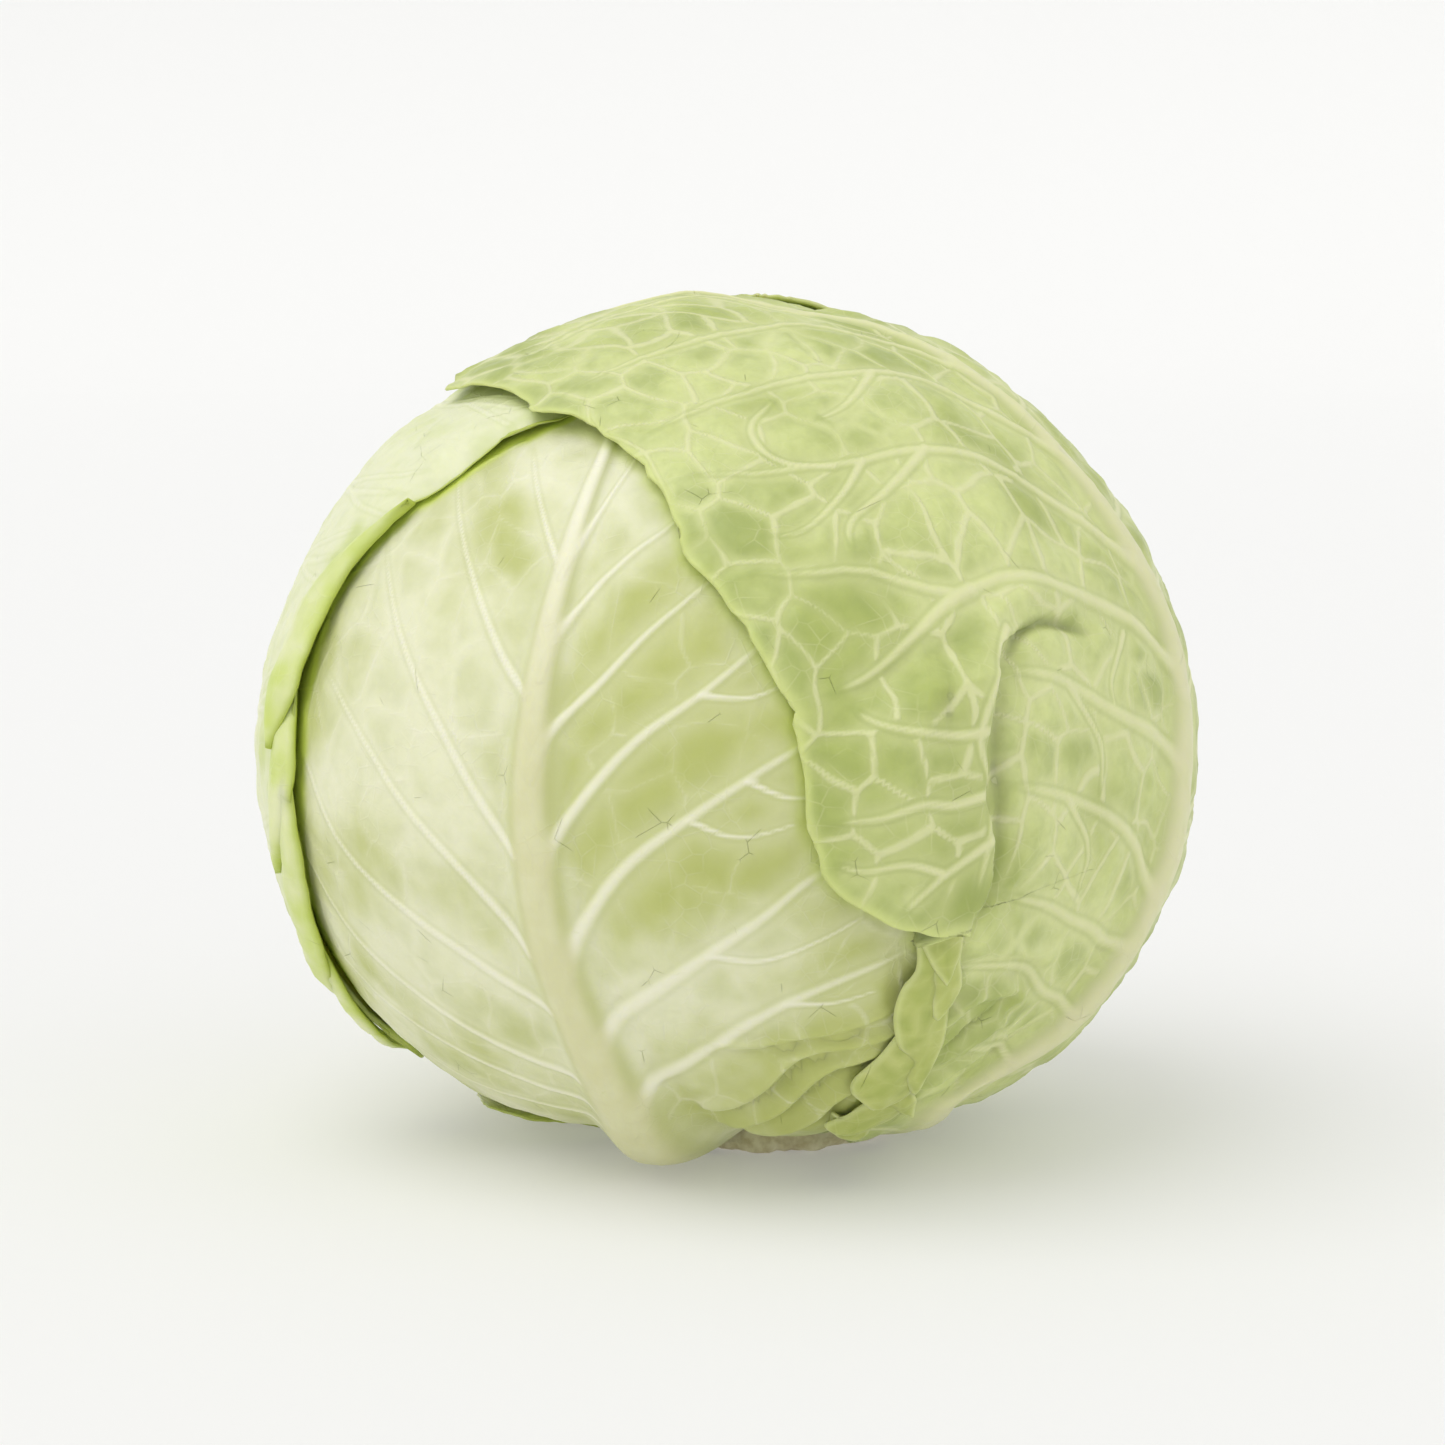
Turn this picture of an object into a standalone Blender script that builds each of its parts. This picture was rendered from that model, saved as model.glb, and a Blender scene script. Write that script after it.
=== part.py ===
"""A round cabbage head on its cut stalk.

Every leaf is a thin closed shell that wraps the head. Leaves are laid in order, so each one
follows the bed left by the leaves under it. Metres, +Z up, origin at the centre of the stalk's
cut face, front of the head towards -Y.
"""

import math

import bpy
import numpy as np

# The head
HEAD_WIDTH = 0.180
HEAD_HEIGHT = 0.161
HEAD_OFFSET = -0.007        # the head's centre leans this far past the stalk, along X
UNDERSIDE_LIFT = 0.0068     # the leaves' bed stands this far off the surface, round the stalk
UNDERSIDE_BLEND = 0.0030    # how softly the round side turns into the underside

# The stalk: a cut stump that tapers into the core
STUMP_RADIUS = 0.0240
STUMP_CHAMFER = 0.0015
STUMP_HEIGHT = 0.030        # the part that the leaves grow from
CORE_TOP_RADIUS = 0.0075
CORE_HEIGHT = 0.085
STALK_CLEARANCE = 0.0005    # between the stalk and each leaf's foot

# The leaves
LEAF_THICKNESS = 0.0011
LEAF_GAP = 0.0015           # between the outer leaves
INNER_GAP = 0.0013          # between the inner leaves, which have wider facets
HEART_GAP = 0.0034          # between the heart and the leaf over it
DRAPE_RAMP = 14.0           # degrees past a margin over which the next leaf comes down
INNER_LEAF_COUNT = 6
GOLDEN_ANGLE = 137.5        # from each leaf to the next one on the stalk
FIRST_INNER_AZIMUTH = 62.0

# Each outer leaf, from the innermost to the outermost. Azimuth 0 is the front, 90 is +X.
# Curves are in degrees on the leaf's own plane, x to the right and y to the tip, laid over the
# head round the leaf's centre. They start at the foot, whose three azimuths come first.
OUTER_LEAVES = {
    "front_leaf": {
        "centre": (-20, 0), "foot": (-88, -25, 42), "rib": 0.0070, "heel": True,
        "left": [(-46, -57), (-63, -36), (-68, -8), (-64, 22), (-50, 48), (-26, 70)],
        "middle": [(4, -52), (2, -31), (-2, -7), (-3, 18), (-3, 44), (-2, 78)],
        "right": [(27, -51), (36, -37), (40, -20), (50, 0), (54, 24), (44, 50), (20, 72)],
        "colour": (0.72, 0.79, 0.48),
    },
    "left_leaf": {
        "centre": (-110, 5), "foot": (-172, -112, -62), "rib": 0.0045, "heel": False,
        "left": [(-36, -52), (-56, -24), (-60, 8), (-52, 40), (-30, 66)],
        "middle": [(-2, -52), (-4, -22), (-3, 12), (6, 45), (22, 80)],
        "right": [(33, -48), (38, -28), (46, -10), (48, 6), (47, 24), (49, 42), (49, 60)],
        "colour": (0.66, 0.76, 0.40),
    },
    "cover_leaf": {
        "centre": (60, 15), "foot": (34, 78, 128), "rib": 0.0050, "heel": False,
        "left": [(-34, -60), (-36, -44), (-41, -27), (-50, -20), (-53, 0), (-55, 20), (-54, 38),
                 (-53, 52), (-55, 64), (-50, 82)],
        "middle": [(6, -60), (15, -44), (16, -24), (11, -4), (9, 16), (8, 36), (1, 54), (-40, 95)],
        "right": [(36, -56), (58, -34), (66, -4), (60, 30), (40, 60), (4, 88), (-26, 100)],
        "colour": (0.60, 0.73, 0.38),
    },
    "back_leaf": {
        "centre": (172, 5), "foot": (118, 168, 216), "rib": 0.0045, "heel": False,
        "left": [(-40, -50), (-56, -24), (-60, 6), (-50, 34), (-34, 52)],
        "middle": [(0, -52), (2, -22), (2, 12), (0, 40), (-4, 64)],
        "right": [(38, -50), (52, -24), (52, 8), (42, 36), (24, 58)],
        "colour": (0.56, 0.70, 0.35),
    },
    "torn_leaf_base": {
        "centre": (-92, -58), "foot": (-112, -92, -70), "rib": 0.0, "heel": False,
        "left": [(-12, -6), (-13, 0), (-10, 5)],
        "middle": [(0, -6), (0, 1), (-1, 9)],
        "right": [(12, -6), (13, 0), (8, 6)],
        "colour": (0.58, 0.68, 0.26),
    },
}

# One inner leaf, which the stalk carries all round
INNER_LEAF = {
    "elevation": 8, "foot_half_angle": 42,
    "left": [(-34, -54), (-52, -28), (-57, 4), (-48, 36), (-26, 62)],
    "middle": [(0, -56), (0, -24), (0, 8), (0, 40), (0, 76)],
    "right": [(34, -54), (52, -28), (57, 4), (48, 36), (26, 62)],
    "colour": (0.80, 0.84, 0.58),
}

# Facets keep their size on a larger head, so that each leaf still follows its bed
OUTER_FACET_WIDTH, OUTER_FACET_LENGTH = 0.01125, 0.0100
INNER_FACET_WIDTH, INNER_FACET_LENGTH = 0.0150, 0.0129
HEART_FACET_WIDTH, HEART_FACET_LENGTH = 0.0050, 0.0090
OUTER_COLUMNS = round(HEAD_WIDTH / OUTER_FACET_WIDTH)
OUTER_ROWS = round(HEAD_WIDTH / OUTER_FACET_LENGTH)
INNER_COLUMNS = round(HEAD_WIDTH / INNER_FACET_WIDTH)
INNER_ROWS = round(HEAD_WIDTH / INNER_FACET_LENGTH)
HEART_COLUMNS = round(HEAD_WIDTH / HEART_FACET_WIDTH)
HEART_ROWS = round(HEAD_WIDTH / HEART_FACET_LENGTH)
SCRAP_COLUMNS, SCRAP_ROWS = 6, 5
STALK_SIDES = 32
OUTLINE_STEPS = 40
RIB_HALF_WIDTH_FOOT = 0.0120
RIB_HALF_WIDTH_TIP = 0.0030
HEEL_REACH = 0.30           # the share of the leaf's length that the heel's swelling takes

HALF_WIDTH = HEAD_WIDTH / 2 - (LEAF_THICKNESS + LEAF_GAP)
CENTRE_HEIGHT = HEAD_HEIGHT * 0.472
HALF_HEIGHT = HEAD_HEIGHT - CENTRE_HEIGHT - 2 * (LEAF_THICKNESS + LEAF_GAP)
CENTRE = np.array([HEAD_OFFSET, 0.0, CENTRE_HEIGHT])


def clear_scene():
    for old in list(bpy.data.objects):
        bpy.data.objects.remove(old, do_unlink=True)


def smooth_step(value):
    share = np.clip(value, 0.0, 1.0)
    return share * share * (3 - 2 * share)


def bed_radius(directions):
    """Distance from the head's centre to the bed of the outer leaves: an ellipsoid whose
    underside is cut softly by a plane."""
    scaled = directions / np.array([HALF_WIDTH, HALF_WIDTH, HALF_HEIGHT])
    round_side = 1 / np.linalg.norm(scaled, axis=-1)
    drop = np.maximum(-directions[..., 2], 0.05)
    underside = (CENTRE_HEIGHT - UNDERSIDE_LIFT) / drop
    nearer = np.minimum(round_side, underside)
    apart = np.abs(round_side - underside)
    return nearer - UNDERSIDE_BLEND * np.log1p(np.exp(-apart / UNDERSIDE_BLEND))


def stalk_radius(height):
    """The stalk's radius at a height: a straight stump, then a core that tapers."""
    taper = smooth_step((height - STUMP_HEIGHT) / (CORE_HEIGHT - STUMP_HEIGHT))
    return STUMP_RADIUS + (CORE_TOP_RADIUS - STUMP_RADIUS) * taper


def plane_axes(azimuth, elevation):
    """The outward, right and tip-ward unit vectors at a leaf's centre."""
    turn, rise = math.radians(azimuth), math.radians(elevation)
    out = np.array([math.sin(turn) * math.cos(rise), -math.cos(turn) * math.cos(rise),
                    math.sin(rise)])
    tip = np.array([-math.sin(turn) * math.sin(rise), math.cos(turn) * math.sin(rise),
                    math.cos(rise)])
    return out, np.cross(tip, out), tip


def plane_to_directions(axes, plane):
    """Points in degrees on a leaf's plane, as unit directions from the head's centre."""
    out, right, tip = axes
    angle = np.radians(np.hypot(plane[..., 0], plane[..., 1]))[..., None]
    unit = np.radians(plane) / np.maximum(angle, 1e-9)
    return np.cos(angle) * out + np.sin(angle) * (unit[..., :1] * right + unit[..., 1:] * tip)


def directions_to_plane(axes, directions):
    out, right, tip = axes
    angle = np.degrees(np.arccos(np.clip(directions @ out, -1, 1)))
    across, along = directions @ right, directions @ tip
    length = np.maximum(np.hypot(across, along), 1e-12)
    return np.stack([angle * across / length, angle * along / length], axis=-1)


def foot_point(axes, azimuth):
    """Where a leaf leaves the stump at an azimuth, on the leaf's plane."""
    turn = math.radians(azimuth)
    reach = STUMP_RADIUS + STALK_CLEARANCE
    point = np.array([reach * math.sin(turn), -reach * math.cos(turn), UNDERSIDE_LIFT])
    offset = point - CENTRE
    return directions_to_plane(axes, offset / np.linalg.norm(offset))


def smooth_curve(points, steps):
    """A Catmull-Rom curve through the points, at equal steps of its length."""
    points = np.asarray(points, float)
    before, after = 2 * points[0] - points[1], 2 * points[-1] - points[-2]
    padded = np.vstack([before, points, after])
    share = np.linspace(0, 1, 12, endpoint=False)[:, None]
    spans = []
    for a, b, c, d in zip(padded, padded[1:], padded[2:], padded[3:]):
        spans.append(0.5 * (2 * b + (c - a) * share + (2 * a - 5 * b + 4 * c - d) * share**2
                            + (3 * b - a - 3 * c + d) * share**3))
    fine = np.vstack([*spans, points[-1:]])
    run = np.concatenate([[0], np.cumsum(np.linalg.norm(np.diff(fine, axis=0), axis=1))])
    wanted = np.linspace(0, run[-1], steps + 1)
    return np.stack([np.interp(wanted, run, fine[:, i]) for i in range(2)], axis=-1)


class Leaf:
    """One leaf's outline on its plane, with what it needs to be laid over the head."""

    def __init__(self, name, spec, columns, rows):
        self.name = name
        self.colour = spec["colour"]
        self.rib = spec.get("rib", 0.0)
        self.heel = spec.get("heel", False)
        self.columns, self.rows = columns, rows
        self.axes = plane_axes(*spec["centre"])
        feet = [foot_point(self.axes, azimuth) for azimuth in spec["foot"]]
        self.curves = {}
        for side, foot in zip(("left", "middle", "right"), feet):
            self.curves[side] = [foot, *map(np.array, spec[side])]
        left = smooth_curve(self.curves["left"], OUTLINE_STEPS)
        right = smooth_curve(self.curves["right"], OUTLINE_STEPS)
        tip = smooth_curve([left[-1], self.curves["middle"][-1], right[-1]], 8)
        foot = smooth_curve([right[0], feet[1], left[0]], 8)
        self.outline = np.vstack([left, tip[1:-1], right[::-1], foot[1:-1]])

    def grid(self):
        """Directions at each column and row, and each one's distance from the midrib in
        radians and its share of the leaf's length."""
        side = np.linspace(-1, 1, self.columns + 1)
        across = np.sign(side) * np.abs(side) ** 1.35
        left, middle, right = (smooth_curve(self.curves[s], self.rows)
                               for s in ("left", "middle", "right"))
        margin = np.where(across[:, None, None] < 0, left, right)
        plane = middle + (margin - middle) * np.abs(across)[:, None, None]
        from_rib = np.radians(np.linalg.norm(plane - middle, axis=-1))
        along = np.broadcast_to(np.linspace(0, 1, self.rows + 1), from_rib.shape)
        return plane_to_directions(self.axes, plane), from_rib, along

    def cover(self, directions):
        """1 where the leaf lies, falling to 0 over the drape's ramp outside its margin."""
        plane = directions_to_plane(self.axes, directions)
        inside, distance = polygon_distance(plane.reshape(-1, 2), self.outline)
        share = np.where(inside, 1.0, 1 - distance / DRAPE_RAMP)
        return smooth_step(share).reshape(plane.shape[:-1])


def polygon_distance(points, polygon):
    """Whether each point is inside a closed polygon, and how far it is from its edge."""
    start, end = polygon, np.roll(polygon, -1, axis=0)
    edge = end - start
    offset = points[:, None, :] - start
    share = np.clip((offset * edge).sum(-1) / np.maximum((edge**2).sum(-1), 1e-12), 0, 1)
    distance = np.linalg.norm(offset - share[..., None] * edge, axis=-1).min(axis=1)
    x, y = points[:, 0:1], points[:, 1:2]
    spans = (start[:, 1] > y) != (end[:, 1] > y)
    rise = np.where(np.abs(edge[:, 1]) < 1e-12, 1e-12, edge[:, 1])
    crossing = start[:, 0] + (y - start[:, 1]) * edge[:, 0] / rise
    inside = (spans & (x < crossing)).sum(axis=1) % 2 == 1
    return inside, distance


def clear_of_stalk(points, lowest):
    """Moves points out to the stalk's side and up to a lowest height."""
    moved = points.copy()
    moved[..., 2] = np.maximum(moved[..., 2], lowest)
    flat = np.linalg.norm(moved[..., :2], axis=-1)
    wanted = np.maximum(flat, stalk_radius(moved[..., 2]) + STALK_CLEARANCE)
    moved[..., :2] *= (wanted / np.maximum(flat, 1e-9))[..., None]
    return moved


def make_object(name, vertices, faces, colour, roughness=0.5):
    mesh = bpy.data.meshes.new(name)
    mesh.from_pydata([tuple(v) for v in vertices], [], faces)
    mesh.shade_smooth()
    mesh.set_sharp_from_angle(angle=math.radians(50))
    material = bpy.data.materials.new(name)
    material.use_nodes = True
    shader = material.node_tree.nodes["Principled BSDF"]
    shader.inputs["Base Color"].default_value = (*colour, 1.0)
    shader.inputs["Roughness"].default_value = roughness
    shader.inputs["Metallic"].default_value = 0.0
    mesh.materials.append(material)
    made = bpy.data.objects.new(name, mesh)
    bpy.context.scene.collection.objects.link(made)
    return made


def shell_faces(columns, rows):
    """Faces of a closed shell: an outer grid, the same grid inside it, and the rim."""
    stride = rows + 1
    count = (columns + 1) * stride
    faces = []
    for i in range(columns):
        for j in range(rows):
            a, b = i * stride + j, (i + 1) * stride + j
            faces.append((a, b, b + 1, a + 1))
            faces.append((a + count, a + 1 + count, b + 1 + count, b + count))
    rim = [i * stride for i in range(columns)]
    rim += [columns * stride + j for j in range(rows)]
    rim += [i * stride + rows for i in range(columns, 0, -1)]
    rim += list(range(rows, 0, -1))
    for a, b in zip(rim, rim[1:] + rim[:1]):
        faces.append((b, a, a + count, b + count))
    return faces


def make_leaf(leaf, bed, lowest, covered):
    """A leaf's shell from the bed that it lies on, with its midrib raised on the outside
    wherever no other leaf presses on it."""
    directions, from_rib, along = leaf.grid()
    inner_radius = bed(directions)
    half_width = RIB_HALF_WIDTH_FOOT + (RIB_HALF_WIDTH_TIP - RIB_HALF_WIDTH_FOOT) * along
    profile = smooth_step(1 - from_rib * HALF_WIDTH / half_width)
    swelling = leaf.rib * (1 - along) ** 1.4
    if leaf.heel:
        swelling += 0.5 * leaf.rib * smooth_step(1 - along / HEEL_REACH)
    rib = swelling * profile * (1 - covered(directions))
    outer_radius = inner_radius + LEAF_THICKNESS + rib
    outer = clear_of_stalk(CENTRE + directions * outer_radius[..., None], lowest)
    inner = clear_of_stalk(CENTRE + directions * inner_radius[..., None],
                           lowest + LEAF_THICKNESS)
    vertices = np.concatenate([outer.reshape(-1, 3), inner.reshape(-1, 3)])
    return make_object(leaf.name, vertices, shell_faces(leaf.columns, leaf.rows), leaf.colour)


def make_outer_leaves():
    leaves = []
    for name, spec in OUTER_LEAVES.items():
        size = (OUTER_COLUMNS, OUTER_ROWS)
        if name == "torn_leaf_base":
            size = (SCRAP_COLUMNS, SCRAP_ROWS)
        leaves.append(Leaf(name, spec, *size))
    step = LEAF_THICKNESS + LEAF_GAP
    for index, leaf in enumerate(leaves):
        under, over = leaves[:index], leaves[index + 1:]

        def bed(directions, under=under):
            return bed_radius(directions) + step * sum(other.cover(directions) for other in under)

        def covered(directions, over=over):
            shares = [other.cover(directions) for other in over]
            return np.max(shares, axis=0) if shares else np.zeros(directions.shape[:-1])

        lowest = 0.0 if leaf.heel else LEAF_GAP / 2
        make_leaf(leaf, bed, lowest, covered)


def make_inner_leaves():
    """The wrapped leaves inside, laid from the outermost one inwards. Returns them."""
    leaves = []
    for index in range(INNER_LEAF_COUNT):
        azimuth = (FIRST_INNER_AZIMUTH + index * GOLDEN_ANGLE) % 360
        half = INNER_LEAF["foot_half_angle"]
        spec = dict(INNER_LEAF, centre=(azimuth, INNER_LEAF["elevation"]),
                    foot=(azimuth - half, azimuth, azimuth + half))
        leaf = Leaf(f"inner_leaf_{index + 1}", spec, INNER_COLUMNS, INNER_ROWS)

        def bed(directions, over=tuple(leaves)):
            return inner_bed(directions, over) - LEAF_THICKNESS

        make_leaf(leaf, bed, LEAF_GAP, lambda directions: np.zeros(directions.shape[:-1]))
        leaves.append(leaf)
    return leaves


def inner_bed(directions, over):
    """The outer face of what lies under the given inner leaves."""
    step = LEAF_THICKNESS + INNER_GAP
    radius = bed_radius(directions) - INNER_GAP
    return radius - step * sum(other.cover(directions) for other in over)


def make_stalk():
    """A turned stalk: the flat cut face, a chamfer, the stump, then the tapering core."""
    heights = np.concatenate([[0.0, STUMP_CHAMFER],
                              np.linspace(STUMP_HEIGHT * 0.5, CORE_HEIGHT * 0.97, 9)])
    radii = stalk_radius(heights)
    radii[0] -= STUMP_CHAMFER
    radii[-1] *= 0.8
    vertices, faces = turned(heights, radii, 0.0, CORE_HEIGHT)
    return make_object("stalk", vertices, faces, (0.78, 0.76, 0.58), roughness=0.7)


def turned(heights, radii, bottom, top):
    """A closed turned solid with a flat bottom and a pointed top, open along no edge."""
    angles = np.arange(STALK_SIDES) * 2 * math.pi / STALK_SIDES
    ring = np.stack([np.cos(angles), np.sin(angles)], axis=-1)
    vertices = []
    for height, radius in zip(heights, radii):
        vertices += [(radius * x, radius * y, height) for x, y in ring]
    vertices += [(0, 0, bottom), (0, 0, top)]
    base, peak = len(vertices) - 2, len(vertices) - 1
    faces = []
    last = (len(heights) - 1) * STALK_SIDES
    for k in range(STALK_SIDES):
        n = (k + 1) % STALK_SIDES
        for row in range(len(heights) - 1):
            a, b = row * STALK_SIDES, (row + 1) * STALK_SIDES
            faces.append((a + k, a + n, b + n, b + k))
        faces.append((base, n, k))
        faces.append((peak, last + k, last + n))
    return vertices, faces


def make_heart(inner_leaves):
    """The tight heart under the inner leaves, hollowed to take the core."""
    rise = np.linspace(-90, 90, HEART_ROWS + 1)[1:-1]
    turn = np.arange(HEART_COLUMNS) * 360 / HEART_COLUMNS
    turn, rise = np.radians(np.meshgrid(turn, rise, indexing="ij"))
    directions = np.stack([np.sin(turn) * np.cos(rise), -np.cos(turn) * np.cos(rise),
                           np.sin(rise)], axis=-1)
    poles = np.array([[0, 0, -1.0], [0, 0, 1.0]])
    gap = HEART_GAP - INNER_GAP
    points = CENTRE + directions * (inner_bed(directions, inner_leaves) - gap)[..., None]
    ends = CENTRE + poles * (inner_bed(poles, inner_leaves) - gap)[:, None]
    vertices = np.vstack([points.reshape(-1, 3), ends])
    rows = HEART_ROWS - 1
    south, north = HEART_COLUMNS * rows, HEART_COLUMNS * rows + 1
    faces = []
    for i in range(HEART_COLUMNS):
        a, b = i * rows, (i + 1) % HEART_COLUMNS * rows
        faces += [(a + j, b + j, b + j + 1, a + j + 1) for j in range(rows - 1)]
        faces += [(south, b, a), (north, a + rows - 1, b + rows - 1)]
    heart = make_object("heart", vertices, faces, INNER_LEAF["colour"])
    bore = heart.modifiers.new("core_bore", "BOOLEAN")
    bore.operation = "DIFFERENCE"
    bore.solver = "EXACT"
    bore.object = make_core_cutter()
    return heart


def make_core_cutter():
    """The stalk's own shape grown by its clearance, and longer below."""
    heights = np.linspace(0, CORE_HEIGHT, 10)
    radii = stalk_radius(heights) + 2 * STALK_CLEARANCE
    vertices, faces = turned(heights, radii, -STUMP_CHAMFER, CORE_HEIGHT + 2 * STALK_CLEARANCE)
    cutter = make_object("core_cutter", vertices, faces, (1, 1, 1))
    cutter.hide_render = True
    cutter.display_type = "WIRE"
    return cutter


def main():
    clear_scene()
    make_stalk()
    make_outer_leaves()
    make_heart(make_inner_leaves())


main()
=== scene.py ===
import math
import bpy
import numpy as np
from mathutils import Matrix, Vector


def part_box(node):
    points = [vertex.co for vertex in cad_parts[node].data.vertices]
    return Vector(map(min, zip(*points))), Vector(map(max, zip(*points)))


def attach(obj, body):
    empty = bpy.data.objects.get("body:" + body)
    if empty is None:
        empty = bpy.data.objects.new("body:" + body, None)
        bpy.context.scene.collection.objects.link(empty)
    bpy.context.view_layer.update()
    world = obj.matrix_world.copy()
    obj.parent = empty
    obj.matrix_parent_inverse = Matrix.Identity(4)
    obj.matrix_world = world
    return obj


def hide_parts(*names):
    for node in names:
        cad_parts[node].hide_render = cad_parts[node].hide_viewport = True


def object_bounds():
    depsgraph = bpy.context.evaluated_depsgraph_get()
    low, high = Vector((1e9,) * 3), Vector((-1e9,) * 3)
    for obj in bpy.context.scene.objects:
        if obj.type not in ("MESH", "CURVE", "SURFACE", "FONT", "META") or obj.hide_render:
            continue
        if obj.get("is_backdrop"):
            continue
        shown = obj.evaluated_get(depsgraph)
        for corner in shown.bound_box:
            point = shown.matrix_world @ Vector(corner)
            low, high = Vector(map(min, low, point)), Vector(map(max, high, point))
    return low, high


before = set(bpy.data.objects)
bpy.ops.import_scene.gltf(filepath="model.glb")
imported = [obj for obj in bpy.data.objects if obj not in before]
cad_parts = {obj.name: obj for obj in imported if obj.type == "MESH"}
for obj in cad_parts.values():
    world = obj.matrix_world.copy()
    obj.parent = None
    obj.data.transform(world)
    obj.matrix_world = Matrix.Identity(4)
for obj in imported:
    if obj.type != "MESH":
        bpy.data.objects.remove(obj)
cadLow, cadHigh = (list(corner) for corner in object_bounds())
print("frame loaded, box", cadLow, cadHigh)

# The head. Every leaf is laid over the same bed, in degrees round the head's centre.
head = {
    "centreShare": 0.4735,      # height of the centre over the whole height
    "sideStep": 0.0026,         # from the bed out to the box, at the sides and on top
    "underLift": 0.0068,        # how far the bed stands off the table, round the stalk
    "underBlend": 0.0030,
    "leafStep": 0.0026,         # from one leaf's inner face to the next one's
    "drapeRamp": 14.0,          # degrees over which a leaf comes down past the one below
    "footClearance": 0.0006,
    # where the head is fuller or flatter than its ellipsoid: azimuth, elevation, width, millimetres
    "lumps": [(88, 66, 24, 3.3), (-85, 18, 20, -1.6), (-78, 60, 20, -1.3), (92, -32, 26, 1.5)],
}
stalkLow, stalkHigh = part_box("stalk")
heartLow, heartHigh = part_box("heart")
stumpRadius = (stalkHigh.x - stalkLow.x) / 2
coreHeight = stalkHigh.z
wholeHeight = cadHigh[2] - cadLow[2]
centre = np.array([(heartLow.x + heartHigh.x) / 2, 0.0, wholeHeight * head["centreShare"]])
bedSide = (cadHigh[1] - cadLow[1]) / 2 - head["sideStep"]
bedTop = cadHigh[2] - centre[2] - 2 * head["sideStep"]
degree = bedSide * math.pi / 180      # metres on the head for one degree



def smoothStep(value):      # 0 to 1 with level ends
    share = np.clip(value, 0.0, 1.0)
    return share * share * (3 - 2 * share)


def smoothCurve(points, steps):      # Catmull-Rom through the points, at equal steps of length
    points = np.asarray(points, float)
    padded = np.vstack([2 * points[0] - points[1], points, 2 * points[-1] - points[-2]])
    t = np.linspace(0, 1, 16, endpoint=False)[:, None]
    a, b, c, d = (padded[k:len(padded) - 3 + k, None, :] for k in range(4))
    spans = 0.5 * (2 * b + (c - a) * t + (2 * a - 5 * b + 4 * c - d) * t**2
                   + (3 * b - a - 3 * c + d) * t**3)
    fine = np.vstack([spans.reshape(-1, points.shape[1]), points[-1:]])
    run = np.concatenate([[0], np.cumsum(np.linalg.norm(np.diff(fine[:, :2], axis=0), axis=1))])
    wanted = np.linspace(0, run[-1], steps + 1)
    return np.stack([np.interp(wanted, run, fine[:, k]) for k in range(points.shape[1])], -1)


def hash2(i, j, seed):      # a fixed number from 0 to 1 for each lattice cell
    value = np.sin(i * 127.1 + j * 311.7 + seed * 74.7) * 43758.5453
    return value - np.floor(value)


def valueNoise(x, y, seed):      # -1 to 1, smooth between lattice points one unit apart
    i, j = np.floor(x), np.floor(y)
    u, v = smoothStep(x - i), smoothStep(y - j)
    low = hash2(i, j, seed) * (1 - u) + hash2(i + 1, j, seed) * u
    high = hash2(i, j + 1, seed) * (1 - u) + hash2(i + 1, j + 1, seed) * u
    return (low * (1 - v) + high * v) * 2 - 1


def cloudNoise(x, y, seed, octaves=3):      # value noise with its own halves added
    total, share = 0.0, 1.0
    for k in range(octaves):
        total = total + share * valueNoise(x * 2**k + 7.3 * k, y * 2**k - 3.1 * k, seed + k)
        share *= 0.5
    return total / (2 - 2.0 ** (1 - octaves))


def cellEdges(x, y, size, seed):      # distance to the walls of jittered cells, and each cell's number
    gx, gy = x / size, y / size
    ci, cj = np.floor(gx), np.floor(gy)
    best = np.full(gx.shape, 1e9)
    near = [np.zeros(gx.shape) for _ in range(3)]
    offsets = [(di, dj) for di in (-1, 0, 1) for dj in (-1, 0, 1)]
    seeds = []
    for di, dj in offsets:
        i, j = ci + di, cj + dj
        sx = i + 0.5 + 0.8 * (hash2(i, j, seed) - 0.5)
        sy = j + 0.5 + 0.8 * (hash2(i, j, seed + 11) - 0.5)
        seeds.append((sx, sy))
        gap = (gx - sx) ** 2 + (gy - sy) ** 2
        closer = gap < best
        best = np.where(closer, gap, best)
        near = [np.where(closer, new, old) for new, old in zip((sx, sy, hash2(i, j, seed + 23)), near)]
    wall = np.full(gx.shape, 1e9)
    for sx, sy in seeds:
        ax, ay = sx - near[0], sy - near[1]
        length = np.hypot(ax, ay)
        reach = (((sx + near[0]) / 2 - gx) * ax + ((sy + near[1]) / 2 - gy) * ay) / np.maximum(length, 1e-9)
        wall = np.where(length > 1e-6, np.minimum(wall, reach), wall)
    return np.maximum(wall, 0) * size, near[2]


def lineDistance(x, y, line):      # distance to a polyline, and the share of its length there
    shape = x.shape
    points = np.stack([x.ravel(), y.ravel()], -1)
    start, edge = line[:-1, :2], np.diff(line[:, :2], axis=0)
    best, where = np.full(len(points), 1e9), np.zeros(len(points))
    for k in range(len(start)):
        offset = points - start[k]
        t = np.clip(offset @ edge[k] / max(edge[k] @ edge[k], 1e-12), 0, 1)
        gap = np.hypot(*(offset - t[:, None] * edge[k]).T)
        closer = gap < best
        best = np.where(closer, gap, best)
        where = np.where(closer, (k + t) / len(start), where)
    return best.reshape(shape), where.reshape(shape)


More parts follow.
